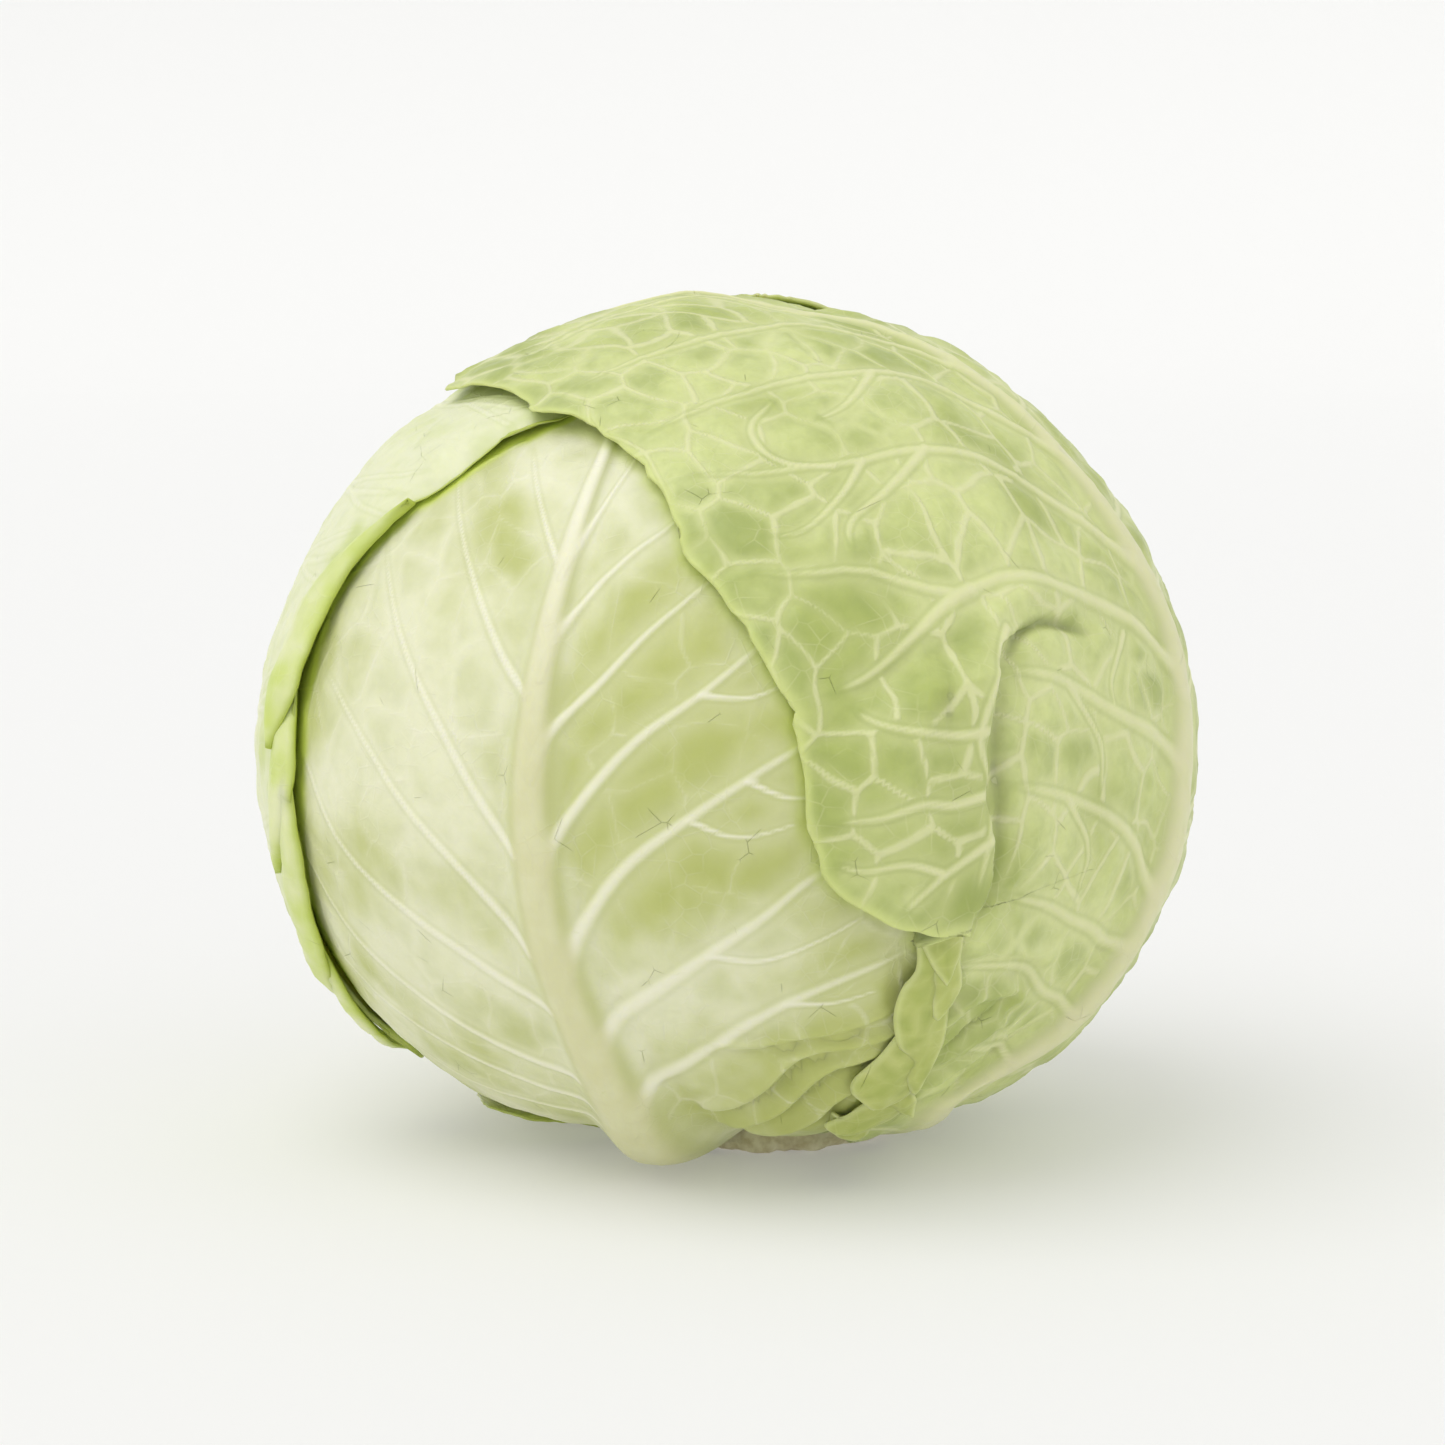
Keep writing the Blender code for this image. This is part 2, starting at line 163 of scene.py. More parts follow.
def outlineDistance(points, outline):      # distance in from a closed outline, negative outside it
    x, y = points[..., 0], points[..., 1]
    loop = np.vstack([outline, outline[:1]])
    gap, _ = lineDistance(x, y, loop)
    inside = np.zeros(x.shape, bool)
    for (x0, y0), (x1, y1) in zip(loop[:-1], loop[1:]):
        crosses = (y0 > y) != (y1 > y)
        if y0 != y1:
            inside ^= crosses & (x < x0 + (y - y0) * (x1 - x0) / (y1 - y0))
    return np.where(inside, gap, -gap)



def bedRadius(directions):      # an ellipsoid with its lumps, cut softly by the plane over the table
    side = 1 / np.linalg.norm(directions / np.array([bedSide, bedSide, bedTop]), axis=-1)
    for azimuth, elevation, width, height in head["lumps"]:
        apart = np.degrees(np.arccos(np.clip(directions @ planeAxes(azimuth, elevation)[0], -1, 1)))
        side = side + height * 0.001 * np.exp(-(apart / width) ** 2)
    under = (centre[2] - head["underLift"]) / np.maximum(-directions[..., 2], 0.05)
    apart = np.abs(side - under) / head["underBlend"]
    return np.minimum(side, under) - head["underBlend"] * np.log1p(np.exp(-apart))


def planeAxes(azimuth, elevation):      # outward, right and tip-ward at a leaf's centre
    turn, rise = math.radians(azimuth), math.radians(elevation)
    out = np.array([math.sin(turn) * math.cos(rise), -math.cos(turn) * math.cos(rise), math.sin(rise)])
    tip = np.array([-math.sin(turn) * math.sin(rise), math.cos(turn) * math.sin(rise), math.cos(rise)])
    return out, np.cross(tip, out), tip


def toDirections(axes, plane):      # degrees from the leaf's centre, wrapped on the unit sphere
    out, right, tip = axes
    angle = np.radians(np.hypot(plane[..., 0], plane[..., 1]))[..., None]
    unit = np.radians(plane) / np.maximum(angle, 1e-9)
    return np.cos(angle) * out + np.sin(angle) * (unit[..., :1] * right + unit[..., 1:] * tip)


def toPlane(axes, directions):
    out, right, tip = axes
    angle = np.degrees(np.arccos(np.clip(directions @ out, -1, 1)))
    across, along = directions @ right, directions @ tip
    length = np.maximum(np.hypot(across, along), 1e-12)
    return np.stack([angle * across / length, angle * along / length], -1)


def footPoint(axes, azimuth):      # where a leaf leaves the stump, on the leaf's plane
    turn, reach = math.radians(azimuth), stumpRadius + head["footClearance"]
    offset = np.array([reach * math.sin(turn), -reach * math.cos(turn), head["underLift"]]) - centre
    return toPlane(axes, offset / np.linalg.norm(offset))


# The leaves, from the innermost outwards. Azimuth 0 is the front, 90 is +X. Curves run from the
# foot to the tip, in degrees on the leaf's plane. A midrib row is (share of the length, half width,
# height), a vein is (half width at its start and end, height there, points), a fold is (half width,
# height, points), all in mm. A tint is (x, y, radius, how much greener).

frontLeaf = {
    "name": "frontLeaf", "node": "front_leaf", "slot": "front_leaf", "seed": 3,
    "centre": (-20, 0), "foot": (-88, -34, 42), "size": (136, 136, 304),
    "left": [(-46, -57), (-63, -36), (-68, -8), (-64, 22), (-50, 48), (-26, 70)],
    "middle": [(1.4, -55), (1.6, -47), (1.5, -40), (0.7, -33), (-0.4, -25), (-1.8, -17), (-2.5, -8),
               (-3, 1),
               (-2.8, 11), (-2.5, 18), (-2, 28), (-1.5, 38), (-1.3, 46), (-1.5, 60), (-2, 78)],
    "right": [(26, -58), (36, -52), (42, -42), (45, -30), (48, -16), (52, 0), (54, 24), (44, 50), (20, 72)],
    "thickness": 0.0009,
    "midrib": [(0.0, 12.0, 5.0), (0.06, 12.0, 5.8), (0.115, 11.0, 6.0), (0.16, 9.0, 5.4), (0.2, 7.2, 4.6),
               (0.25, 6.0, 4.0), (0.305, 5.0, 3.5), (0.36, 4.6, 3.1), (0.42, 4.3, 2.8), (0.48, 3.9, 2.4),
               (0.55, 3.2, 1.9), (0.66, 2.3, 1.3), (0.78, 1.6, 0.8), (1.0, 0.6, 0.2)],
    "groove": (0.12, 0.36),      # beside the midrib, on its left and on its right
    "veins": [
        (0.9, 0.5, 0.5, 0.2, [(-3, 28), (-6, 33), (-10, 40), (-13, 46)]),
        (1.1, 0.5, 0.55, 0.2, [(-4, 12), (-7.5, 16), (-12, 22.5), (-18, 31.5), (-23, 40), (-25, 46)]),
        (1.2, 0.6, 0.6, 0.2, [(-5, -6), (-9.5, 0), (-15, 7.5), (-23, 17.5), (-30, 27.5), (-34, 35)]),
        (1.3, 0.7, 0.65, 0.25, [(-4.5, -18), (-8, -13), (-14, -7), (-21, -1), (-30, 7.5), (-42, 16.5)]),
        (1.4, 0.8, 0.7, 0.3, [(-3.5, -26), (-13, -20), (-21, -15.5), (-32.5, -8.5), (-41, 1.5), (-47, 8)]),
        (1.4, 0.8, 0.7, 0.3, [(-3, -38), (-12, -34.5), (-21, -30), (-34, -22), (-42, -13), (-48, -5)]),
        (1.2, 0.8, 0.6, 0.3, [(-2, -44), (-12, -41), (-24, -37), (-38, -30), (-47, -21)]),
        (1.1, 0.7, 0.5, 0.2, [(-1, -49), (-12, -47), (-27, -46), (-41, -40)]),
        (1.0, 0.5, 0.5, 0.2, [(-2, 26), (1, 36), (3.5, 44), (5, 52)]),
        (1.2, 0.6, 0.6, 0.2, [(-2.3, 14), (-1, 19.5), (2, 24.5), (6, 29.5), (10.5, 34), (14, 40)]),
        (1.4, 0.6, 0.75, 0.25, [(-2.6, 3), (-0.6, 8.6), (4.5, 14), (9.5, 20), (14.5, 25), (20, 31)]),
        (1.8, 0.7, 0.9, 0.3, [(-2.4, -11), (-0.3, -4), (4, 2), (9.5, 8), (16, 13), (21.5, 18), (29, 25)]),
        (2.2, 0.8, 1.1, 0.35, [(-1.4, -25), (0.6, -17.5), (3, -13), (8, -6.5), (15, -1), (21.5, 3.5),
                               (27, 7), (36, 12)]),
        (2.5, 0.9, 1.2, 0.35, [(0.6, -38), (2, -31), (4.6, -26.6), (9, -23), (16.5, -17.5),
                               (23.5, -12.5), (29, -8), (38, -3)]),
        (2.6, 0.9, 1.2, 0.35, [(2.6, -46), (6, -39), (10.5, -35), (17.5, -29.7), (25, -25), (32, -22),
                               (39, -19.5), (46, -17)]),
        (1.0, 0.5, 0.45, 0.15, [(25, -25), (31, -25.5), (38, -24)]),
        (0.9, 0.4, 0.4, 0.15, [(16, 13), (22, 13), (28, 16)]),
        (0.9, 0.4, 0.4, 0.15, [(15, -1), (21, -3), (29, -1)]),
        (0.9, 0.4, 0.4, 0.15, [(16.5, -17.5), (23, -18.5), (30, -16), (37, -12)]),
        (0.9, 0.4, 0.4, 0.15, [(21.5, 3.5), (27, 1.5), (35, 3)]),
    ],
    # long soft folds where the blade is squeezed together beside the stump
    "folds": [
        (1.1, 1.1, [(15, -30), (20.5, -31), (24.5, -30.5), (29.5, -30), (34.5, -29.3), (40, -27)]),
        (1.2, -1.0, [(16, -32.6), (21, -33), (25, -32.2), (29.5, -31.6), (35, -31)]),
        (1.8, 1.7, [(12.5, -44), (17.5, -42), (21.5, -38), (25, -34), (28.7, -32.6), (35, -32.6),
                    (40, -31)]),
        (1.3, -1.4, [(13, -46.5), (17.5, -44.8), (22.3, -40.8), (25.6, -36.4), (28.4, -34.6), (32, -34.4)]),
        (1.8, 1.8, [(13, -49.5), (17.4, -48), (22.4, -44.4), (26.3, -39.3), (29.6, -36.5), (33.4, -36),
                    (38, -35)]),
        (1.3, -1.4, [(17, -51), (22.5, -47.6), (27.2, -42.4), (30, -39.4), (33.6, -38.2), (38, -37.5)]),
        (1.8, 1.6, [(17, -53), (21.4, -52), (26, -48.8), (29.8, -43.8), (33.4, -41.6), (38, -40)]),
        (1.3, -1.2, [(24, -52.5), (29, -48.5), (32, -45.4), (36, -43)]),
        (2.2, -0.4, [(40, -17), (38.6, -22), (37.6, -27)]),
    ],
    "net": (7.0, 0.14, 0.55), "pucker": 0.28, "waves": 0.35, "greenShift": -0.02,
    "tints": [(38, -24, 4, 0.8), (13, 13, 8, 0.45), (6, 21, 7, 0.35), (22, 4, 15, 0.75),
              (13, -9, 9, 0.35), (-30, 5, 22, -0.12), (-3, 38, 14, -0.35), (27, -36, 12, 0.45),
              (34, -22, 7, 0.4), (8, -30, 8, -0.35), (-38, -12, 12, 0.15), (-18, 34, 9, 0.3)],
    "lift": {"side": "both", "height": 0.3, "reach": 3.0, "curl": 0.0},
    "raggedness": 0.35, "cast": 0.0,
}

leftLeaf = {
    "name": "leftLeaf", "node": "left_leaf", "slot": "left_leaf", "seed": 17,
    "centre": (-110, 5), "foot": (-172, -112, -78), "size": (104, 140, 264),
    "left": [(-36, -52), (-56, -24), (-60, 8), (-55, 44), (-42, 78)],
    "middle": [(-2, -52), (-4, -22), (-3, 12), (6, 45), (22, 80)],
    "right": [(10, -56), (19, -50.5), (26, -45), (32, -39), (37, -32), (41.5, -24.5), (45, -17),
              (47, -9), (47.5, -2),
              (48, 3), (48, 8), (46.5, 13), (46, 20), (46.5, 28), (48, 35), (49.3, 41), (50, 49),
              (50, 58), (47, 68)],
    "thickness": 0.0008,
    "midrib": [(0.0, 10.0, 4.0), (0.1, 6.5, 3.2), (0.3, 4.0, 2.3), (0.6, 2.6, 1.5), (1.0, 0.6, 0.2)],
    "groove": (0.2, 0.2),
    "veins": [], "folds": [],
    "net": (6.5, 0.28, 0.5), "pucker": 0.5, "waves": 0.6, "greenShift": -0.25,
    "tints": [(45, 10, 5, 0.3), (40, -20, 7, 0.4)],
    "lift": {"side": "right", "height": -2.2, "reach": 5.0, "curl": 0.8},
    "raggedness": 0.9, "cast": 0.9,
}

coverLeaf = {
    "name": "coverLeaf", "node": "cover_leaf", "slot": "cover_leaf", "seed": 29,
    "centre": (60, 15), "foot": (24, 50, 150), "size": (168, 68, 360), "level": True,
    # each point's third number is how many layers of the pleat lie under it
    "left": [(-31, -62, 0), (-32, -55, 0), (-33, -48, 0), (-34.5, -41, 0), (-36, -35, 0), (-38.5, -30.5, 0),
             (-36.8, -28.9, 1), (-34.2, -28.2, 2), (-37.5, -27.7, 2), (-41.5, -26.6, 2), (-45.5, -24.6, 2),
             (-49.2, -21.8, 2), (-51.2, -18, 2), (-52, -12, 2), (-52, -6, 2), (-52.5, 0, 2), (-53.5, 7, 2),
             (-54, 13, 2), (-55.5, 20, 2), (-56, 26, 2), (-54, 33, 2), (-53.5, 41, 2), (-53, 50, 2),
             (-53.5, 57, 2), (-56, 62.5, 2), (-54, 67, 2), (-52, 76, 2), (-49, 90, 2)],
    "middle": [(-18, -60), (-11, -54), (-4, -47.5), (0.5, -40.5), (3.5, -34), (5.5, -28), (7.5, -19),
               (9.8, -8),
               (10.4, -2), (9.5, 6), (7.5, 16), (6, 27), (4.5, 38), (3, 48), (1, 57), (-4, 66), (-16, 80),
               (-28, 92), (-36, 98)],
    "right": [(48, -60), (68, -36), (74, -4), (66, 30), (46, 60), (12, 86), (-20, 102)],
    "thickness": 0.0008,
    "midrib": [(0.0, 8.0, 1.4), (0.1, 7.6, 2.4), (0.2, 6.6, 3.2), (0.35, 5.6, 2.8), (0.47, 4.6, 2.2),
               (0.58, 3.2, 1.7), (0.7, 2.3, 1.2), (0.82, 1.7, 0.8), (1.0, 0.6, 0.2)],
    "groove": (0.2, 0.15),
    "pleat": {"rows": [-60, -26, -21, -17, -12, -6, -1, 2, 4, 5, 6, 8],
              "edge": [-34, -33.5, -32, -32, -33, -32, -30, -28.5, -26.5, -22.5, -17, -13],
              "top": 7.8, "grow": 11.5, "width": 6.5, "soft": 0.42, "layer": 2.8},
    "veins": [
        (2.2, 0.8, 1.4, 0.5, [(10, -5), (3, 1), (-4, 5), (-12, 8.5), (-21, 11.5), (-29, 11),
                              (-34, 13.5), (-39, 17),
                              (-46, 18.5), (-51, 20.5), (-57, 20)]),
        (1.7, 0.8, 1.1, 0.4, [(-27, 11), (-31, 10), (-36, 7.5), (-43, 4), (-49, 3)]),
        (1.9, 0.7, 1.2, 0.4, [(9, 7), (5, 12), (-1, 17), (-10, 24), (-16, 28), (-24, 30.6), (-31, 31),
                              (-37, 32.6),
                              (-43, 34), (-49, 37), (-56, 38)]),
        (1.0, 0.8, 0.6, 0.5, [(-34, 31.4), (-38.6, 34), (-40, 37.6), (-38, 42), (-31, 45)]),
        (1.2, 0.7, 0.8, 0.5, [(-21, 30), (-30, 26), (-37, 23), (-39, 18)]),
        (1.0, 0.5, 0.6, 0.3, [(-30, 31), (-36, 27), (-43, 24), (-48, 25)]),
        (1.6, 0.7, 1.0, 0.4, [(6, 24), (3, 29), (-1, 33), (-7, 40), (-16, 44), (-27, 47), (-34, 47.4),
                              (-42, 48), (-54, 46)]),
        (1.1, 0.5, 0.6, 0.3, [(-16, 44), (-25, 40), (-32, 39)]),
        (1.4, 0.7, 0.8, 0.3, [(4, 40), (1, 45), (-2, 49), (-9, 55), (-16, 59), (-31, 61), (-44, 62),
                              (-56, 61)]),
        (1.3, 0.6, 0.7, 0.3, [(-2, 62), (-11, 70), (-24, 77), (-38, 80), (-50, 80)]),
        (2.0, 0.9, 1.2, 0.5, [(8, -18), (5, -13), (-1, -10), (-8, -7), (-17, -2), (-24, 0.4),
                              (-30.4, 1.4)]),
        (1.9, 0.9, 1.2, 0.5, [(5, -32), (0, -27), (-4, -23), (-10, -19), (-19, -15), (-26, -12.6),
                              (-31.4, -11)]),
        (1.8, 0.9, 1.1, 0.5, [(4, -37), (-4, -35.5), (-9, -33), (-14, -31), (-19, -28.5), (-24, -26.5),
                              (-31, -24)]),
        (1.5, 0.8, 0.9, 0.4, [(-3, -47), (-8, -43.5), (-14, -41), (-20, -36.5), (-27, -34.5), (-36, -33)]),
        (1.3, 0.7, 0.8, 0.4, [(-10, -54), (-15, -50), (-21, -48.5), (-28, -47)]),
        (1.0, 0.5, 0.6, 0.3, [(-19, -15), (-14, -22), (-15, -29)]),
        (1.0, 0.5, 0.6, 0.3, [(-17, -2), (-12, -10), (-13, -17)]),
        (0.9, 0.5, 0.5, 0.3, [(-3, 2), (-8, -3), (-8, -7)]),
        (1.2, 0.8, 0.6, 0.4, [(-32.5, -5), (-36.4, -4.6), (-43, -2.1), (-46.3, 1.6)]),
        (1.3, 0.8, 0.6, 0.3, [(-32.5, -11.6), (-37.3, -12.1), (-40.9, -11.4), (-45.6, -12.4),
                              (-51, -12.2)]),
        (1.3, 0.8, 0.6, 0.3, [(-32.5, -16.6), (-37.9, -19.5), (-40.8, -21.9), (-43.5, -24.4)]),
        (1.0, 0.7, 0.5, 0.3, [(-38.2, -19.7), (-42.5, -18), (-47, -18.6), (-50.5, -17)]),
        (1.1, 0.8, 0.6, 0.5, [(-25, 5.6), (-27.6, 3.4), (-29.8, 0.6), (-32.2, -2.6), (-33.6, -6),
                              (-32.9, -10), (-32.9, -14),
                              (-33.5, -18), (-34.5, -22), (-35.4, -26)]),      # along the fold's edge
    ],
    "folds": [
        # the swelling over the pleat's top
        (2.4, 1.5, [(-11, 7), (-18, 9), (-23, 8.4), (-27, 6), (-30, 2.4), (-32.5, -3)]),
        # and the pocket under it
        (1.5, -2.0, [(-10, 3), (-14.5, 4.6), (-19, 5.4), (-22.5, 4.8), (-25.5, 2.6)]),
        (1.5, 0.9, [(-36, 6), (-38, 1), (-40, -5)]),
        (1.2, -0.8, [(-34, 4), (-36, -1), (-37, -6)]),
        # a hook-shaped fold low down
        (1.8, 2.1, [(-31, -42), (-29, -39), (-25, -38), (-21, -39), (-18, -42)]),
        (1.1, -1.9, [(-28.5, -47), (-27, -45), (-25.5, -43.5), (-23.5, -42), (-22.5, -40.6)]),
        (1.6, 1.4, [(-27, -48.5), (-24.5, -46.5), (-21.5, -45), (-18, -45)]),
        (1.4, 1.2, [(-29, -54), (-25.5, -52.6), (-23, -50.4), (-19, -49.6)]),
        (1.2, -1.1, [(-28, -56), (-24, -54.6), (-21, -52.4), (-17, -51)]),
        (1.8, 1.0, [(-30, -32), (-24, -33), (-15, -36)]),
        # the valley beside the fold's edge
        (1.5, -1.2, [(-28, -1), (-30, -7), (-30, -14), (-30, -20), (-31.5, -26)]),
    ],
    "net": (6.6, 0.4, 0.8), "pucker": 0.8, "waves": 0.6, "greenShift": 0.0,
    "tints": [(-45, -6, 13, 0.4), (-41, 20, 13, 0.2), (-46, 60, 14, -0.25), (-36, -24, 6, 0.3),
              (-12, 20, 14, -0.1),
              (-22, -42, 10, 0.2), (-48, 34, 8, -0.15), (-10, -38, 14, -0.25)],
    "lift": {"side": "left", "height": -0.6, "reach": 4.0, "curl": 0.0},
    "raggedness": 0.65, "cast": 0.45,
}

backLeaf = {
    "name": "backLeaf", "node": "back_leaf", "slot": "back_leaf", "seed": 41,
    "centre": (172, 5), "foot": (102, 168, 220), "size": (132, 132, 272),
    "left": [(-46, -54), (-60, -30), (-62, 4), (-54, 36), (-32, 58)],
    "middle": [(0, -52), (2, -22), (2, 12), (0, 40), (-3, 70)],
    "right": [(42, -52), (56, -26), (57, 8), (47, 38), (24, 62)],
    "thickness": 0.0008,
    "midrib": [(0.0, 11.0, 4.2), (0.1, 7.0, 3.4), (0.3, 4.4, 2.5), (0.6, 2.8, 1.6), (1.0, 0.6, 0.2)],
    "groove": (0.2, 0.2),
    "veins": [], "folds": [],
    "net": (6.6, 0.34, 0.75), "pucker": 0.55, "waves": 0.6, "greenShift": 0.0, "tints": [],
    "lift": {"side": "both", "height": -0.5, "reach": 4.0, "curl": 0.0},
    "raggedness": 0.6, "cast": 0.4,
}

tornBase = {      # what is left of an older leaf, torn off at the stump
    "name": "tornBase", "node": "torn_leaf_base", "slot": "torn_leaf_base", "seed": 53,
    "centre": (-92, -58), "foot": (-112, -92, -70), "size": (32, 32, 64),
    "left": [(-10, -7), (-10, -3), (-8, 1)],
    "middle": [(0, -7), (0, -2), (-1, 3)],
    "right": [(10, -7), (10, -3), (6, 1)],
    "thickness": 0.0008,
    "midrib": [(0.0, 5.0, 1.6), (0.5, 3.5, 1.0), (1.0, 2.0, 0.4)],
    "groove": (0.2, 0.2),
    "veins": [(1.2, 0.6, 0.6, 0.2, [(-1, -8), (-5, -4), (-8, 0)]),
              (1.2, 0.6, 0.6, 0.2, [(1, -8), (5, -4), (7, 0)])],
    "folds": [],
    "net": (4.0, 0.2, 0.6), "pucker": 0.35, "waves": 0.5, "greenShift": 0.2, "tints": [],
    "lift": {"side": "both", "height": 0.6, "reach": 2.0, "curl": 0.0},
    "raggedness": 1.0, "cast": 0.4,
}

leaves = [frontLeaf, leftLeaf, coverLeaf, backLeaf, tornBase]


def branchVeins(leaf, side, starts, seed, relief=1.0):
    # Side veins leave the midrib at a slant, bend towards the tip, and fork before the margin.
    middle, margin = leaf["middleLine"], leaf[side + "Line"]
    last, made = len(middle) - 1, []
    for k, start in enumerate(starts):
        t = start + 0.02 * (hash2(k, seed, 5) - 0.5)
        reach = t + 0.13 + 0.05 * hash2(k, seed, 9)
        share = np.array([0.0, 0.12, 0.3, 0.55, 0.8, 0.97])
        rows = np.clip((t + (reach - t) * share ** 1.25) * last, 0, last).astype(int)
        sway = 2.4 * (hash2(k + share * 7, seed, 13) - 0.5) * np.array([0, 0.3, 1, 1, 1, 0.5])
        path = middle[rows] + (margin[rows] - middle[rows]) * share[:, None]
        path[:, 1] += sway
        size = 1.0 - 0.45 * start
        made.append((1.6 * size, 0.95, 0.8 * size * relief, 0.3 * relief, path))
        for fork, bend in ((2, 4.5), (3, -4.5)):
            tail = path[fork:].copy()
            tail[:, 1] += bend * np.linspace(0, 1, len(tail)) ** 0.8
            made.append((1.0 * size, 0.85, 0.5 * size * relief, 0.2 * relief, tail))
    return made


def pickRows(line, wanted):      # points at fractional places along a line
    places = np.arange(len(line))
    return np.stack([np.interp(wanted, places, line[:, k]) for k in range(line.shape[1])], -1)


def levelRows(lines, rows):
    # Rows that run level across the leaf: the left margin sets their spacing, closest where the leaf
    # faces the front, and the other two curves follow its smoothed height.
    margin = lines["left"]
    height = np.maximum.accumulate(margin[:, 1])
    share = (height - height[0]) / (height[-1] - height[0])
    weight = np.where(np.abs(height[1:]) > 66, 0.5, 1.0)
    run = np.concatenate([[0], np.cumsum(np.hypot(*np.diff(margin, axis=0).T) * weight)])
    wanted = np.interp(np.linspace(0, run[-1], rows + 1), run, np.arange(len(margin)))
    even = np.linspace(0, 1, rows + 1)
    offset = np.interp(wanted, np.arange(len(margin)), share) - even
    reach = rows // 36
    padded = np.pad(offset, reach, mode="edge")
    smooth = np.convolve(padded, np.ones(2 * reach + 1) / (2 * reach + 1), mode="valid")
    smooth = smooth * smoothStep(even * 20) * smoothStep((1 - even) * 20)
    level = np.maximum.accumulate(even + smooth)
    picked = {"left": pickRows(margin, wanted)}
    for side in ("middle", "right"):
        rise = np.maximum.accumulate(lines[side][:, 1]) + 1e-6 * np.arange(len(lines[side]))
        rise = (rise - rise[0]) / (rise[-1] - rise[0])
        picked[side] = pickRows(lines[side], np.interp(level, rise, np.arange(len(rise))))
    return picked


def prepareLeaf(leaf):
    # Margins and midrib as even curves with their small irregular waves, and the outline they close.
    left, right, rows = (count // 4 * 4 for count in leaf["size"])
    leaf["counts"] = (left, right, rows)
    leaf["axes"] = planeAxes(*leaf["centre"])
    feet = [footPoint(leaf["axes"], azimuth) for azimuth in leaf["foot"]]
    lines = {}
    for side, foot in zip(("left", "middle", "right"), feet):
        layered = len(leaf[side][0]) == 3
        line = smoothCurve([(*foot, 0) if layered else foot, *leaf[side]], 1600)
        if layered:
            line = np.stack([line[:, 0] - line[:, 2] * pleatWidth(line[:, 1], leaf["pleat"]),
                             line[:, 1]], -1)
        lines[side] = line
    if leaf.get("level"):
        lines = levelRows(lines, rows)
    else:
        lines = {side: pickRows(line, np.linspace(0, len(line) - 1, rows + 1))
                 for side, line in lines.items()}
    along = np.linspace(0, 1, rows + 1)
    for side, line in lines.items():
        run = np.concatenate([[0], np.cumsum(np.hypot(*np.diff(line, axis=0).T))])
        if side == "middle":
            leaf["rowShare"] = run / run[-1]
        else:
            tangent = np.gradient(line, axis=0)
            normal = np.stack([-tangent[:, 1], tangent[:, 0]], -1)
            normal /= np.maximum(np.linalg.norm(normal, axis=1), 1e-9)[:, None]
            seed = leaf["seed"] + (1 if side == "left" else 2)
            wave = (0.9 * valueNoise(run / 7.5, 0 * run, seed)
                    + 0.5 * valueNoise(run / 2.6, 0 * run, seed + 5))
            nick = np.maximum(valueNoise(run / 3.3, 0 * run + 9, seed + 8) - 0.45, 0) * 1.8
            away = leaf["raggedness"] * (wave + nick) * (-1 if side == "left" else 1)
            line = line + normal * (away * smoothStep(along * 12) * smoothStep((1 - along) * 12))[:, None]
        leaf[side + "Line"] = line
    tip = smoothCurve([leaf["leftLine"][-1], leaf["middleLine"][-1], leaf["rightLine"][-1]], 10)
    foot = smoothCurve([leaf["rightLine"][0], leaf["middleLine"][0], leaf["leftLine"][0]], 10)
    step = max(1, rows // 90)
    leaf["outline"] = np.vstack([leaf["leftLine"][::step], tip[1:-1], leaf["rightLine"][::-step],
                                 foot[1:-1]])
    seen = leaf["outline"].copy()
    if "pleat" in leaf:
        seen[:, 0], _, _ = foldSheet(seen[:, 0], seen[:, 1], leaf["pleat"])
    leaf["seenOutline"] = seen


def pleatWidth(y, pleat):      # the hidden run of the fold, none above its top
    return pleat["width"] * smoothStep((pleat["top"] - y) / pleat["grow"])


def foldSheet(s, y, pleat):
    # A Z fold across the sheet: it runs on to the fold's edge, doubles back under itself, and goes
    # on below. Each bend is a hyperbola, so the doubled sheet has round edges. Also returns how deep
    # in the fold's shade a point lies.
    edge = np.interp(y, pleat["rows"], pleat["edge"])
    width = pleatWidth(y, pleat)
    a, soft = edge - width, pleat["soft"]
    b = a - width
    bendA, bendB = np.hypot(s - a, soft), np.hypot(s - b, soft)
    x = s + (bendA - (s - a)) - (bendB - (s - b))
    share = np.minimum(width / pleat["width"] * 1.5, 1)
    rise = 0.5 * share * ((1 - (s - a) / bendA) + (1 - (s - b) / bendB))
    settle = np.where(s < b, smoothStep((x - a + 13) / 11), 1.0)
    shade = np.where(s > b, share * np.exp(-(np.maximum(x - edge - 0.1, 0) / 0.5) ** 2), 0.0)
    return x, pleat["layer"] * rise * settle, shade


def coverOf(leaf, directions):      # 1 under or over the leaf, falling to 0 past its margin
    gap = outlineDistance(toPlane(leaf["axes"], directions), leaf["seenOutline"])
    return smoothStep(1 + gap / head["drapeRamp"]), gap


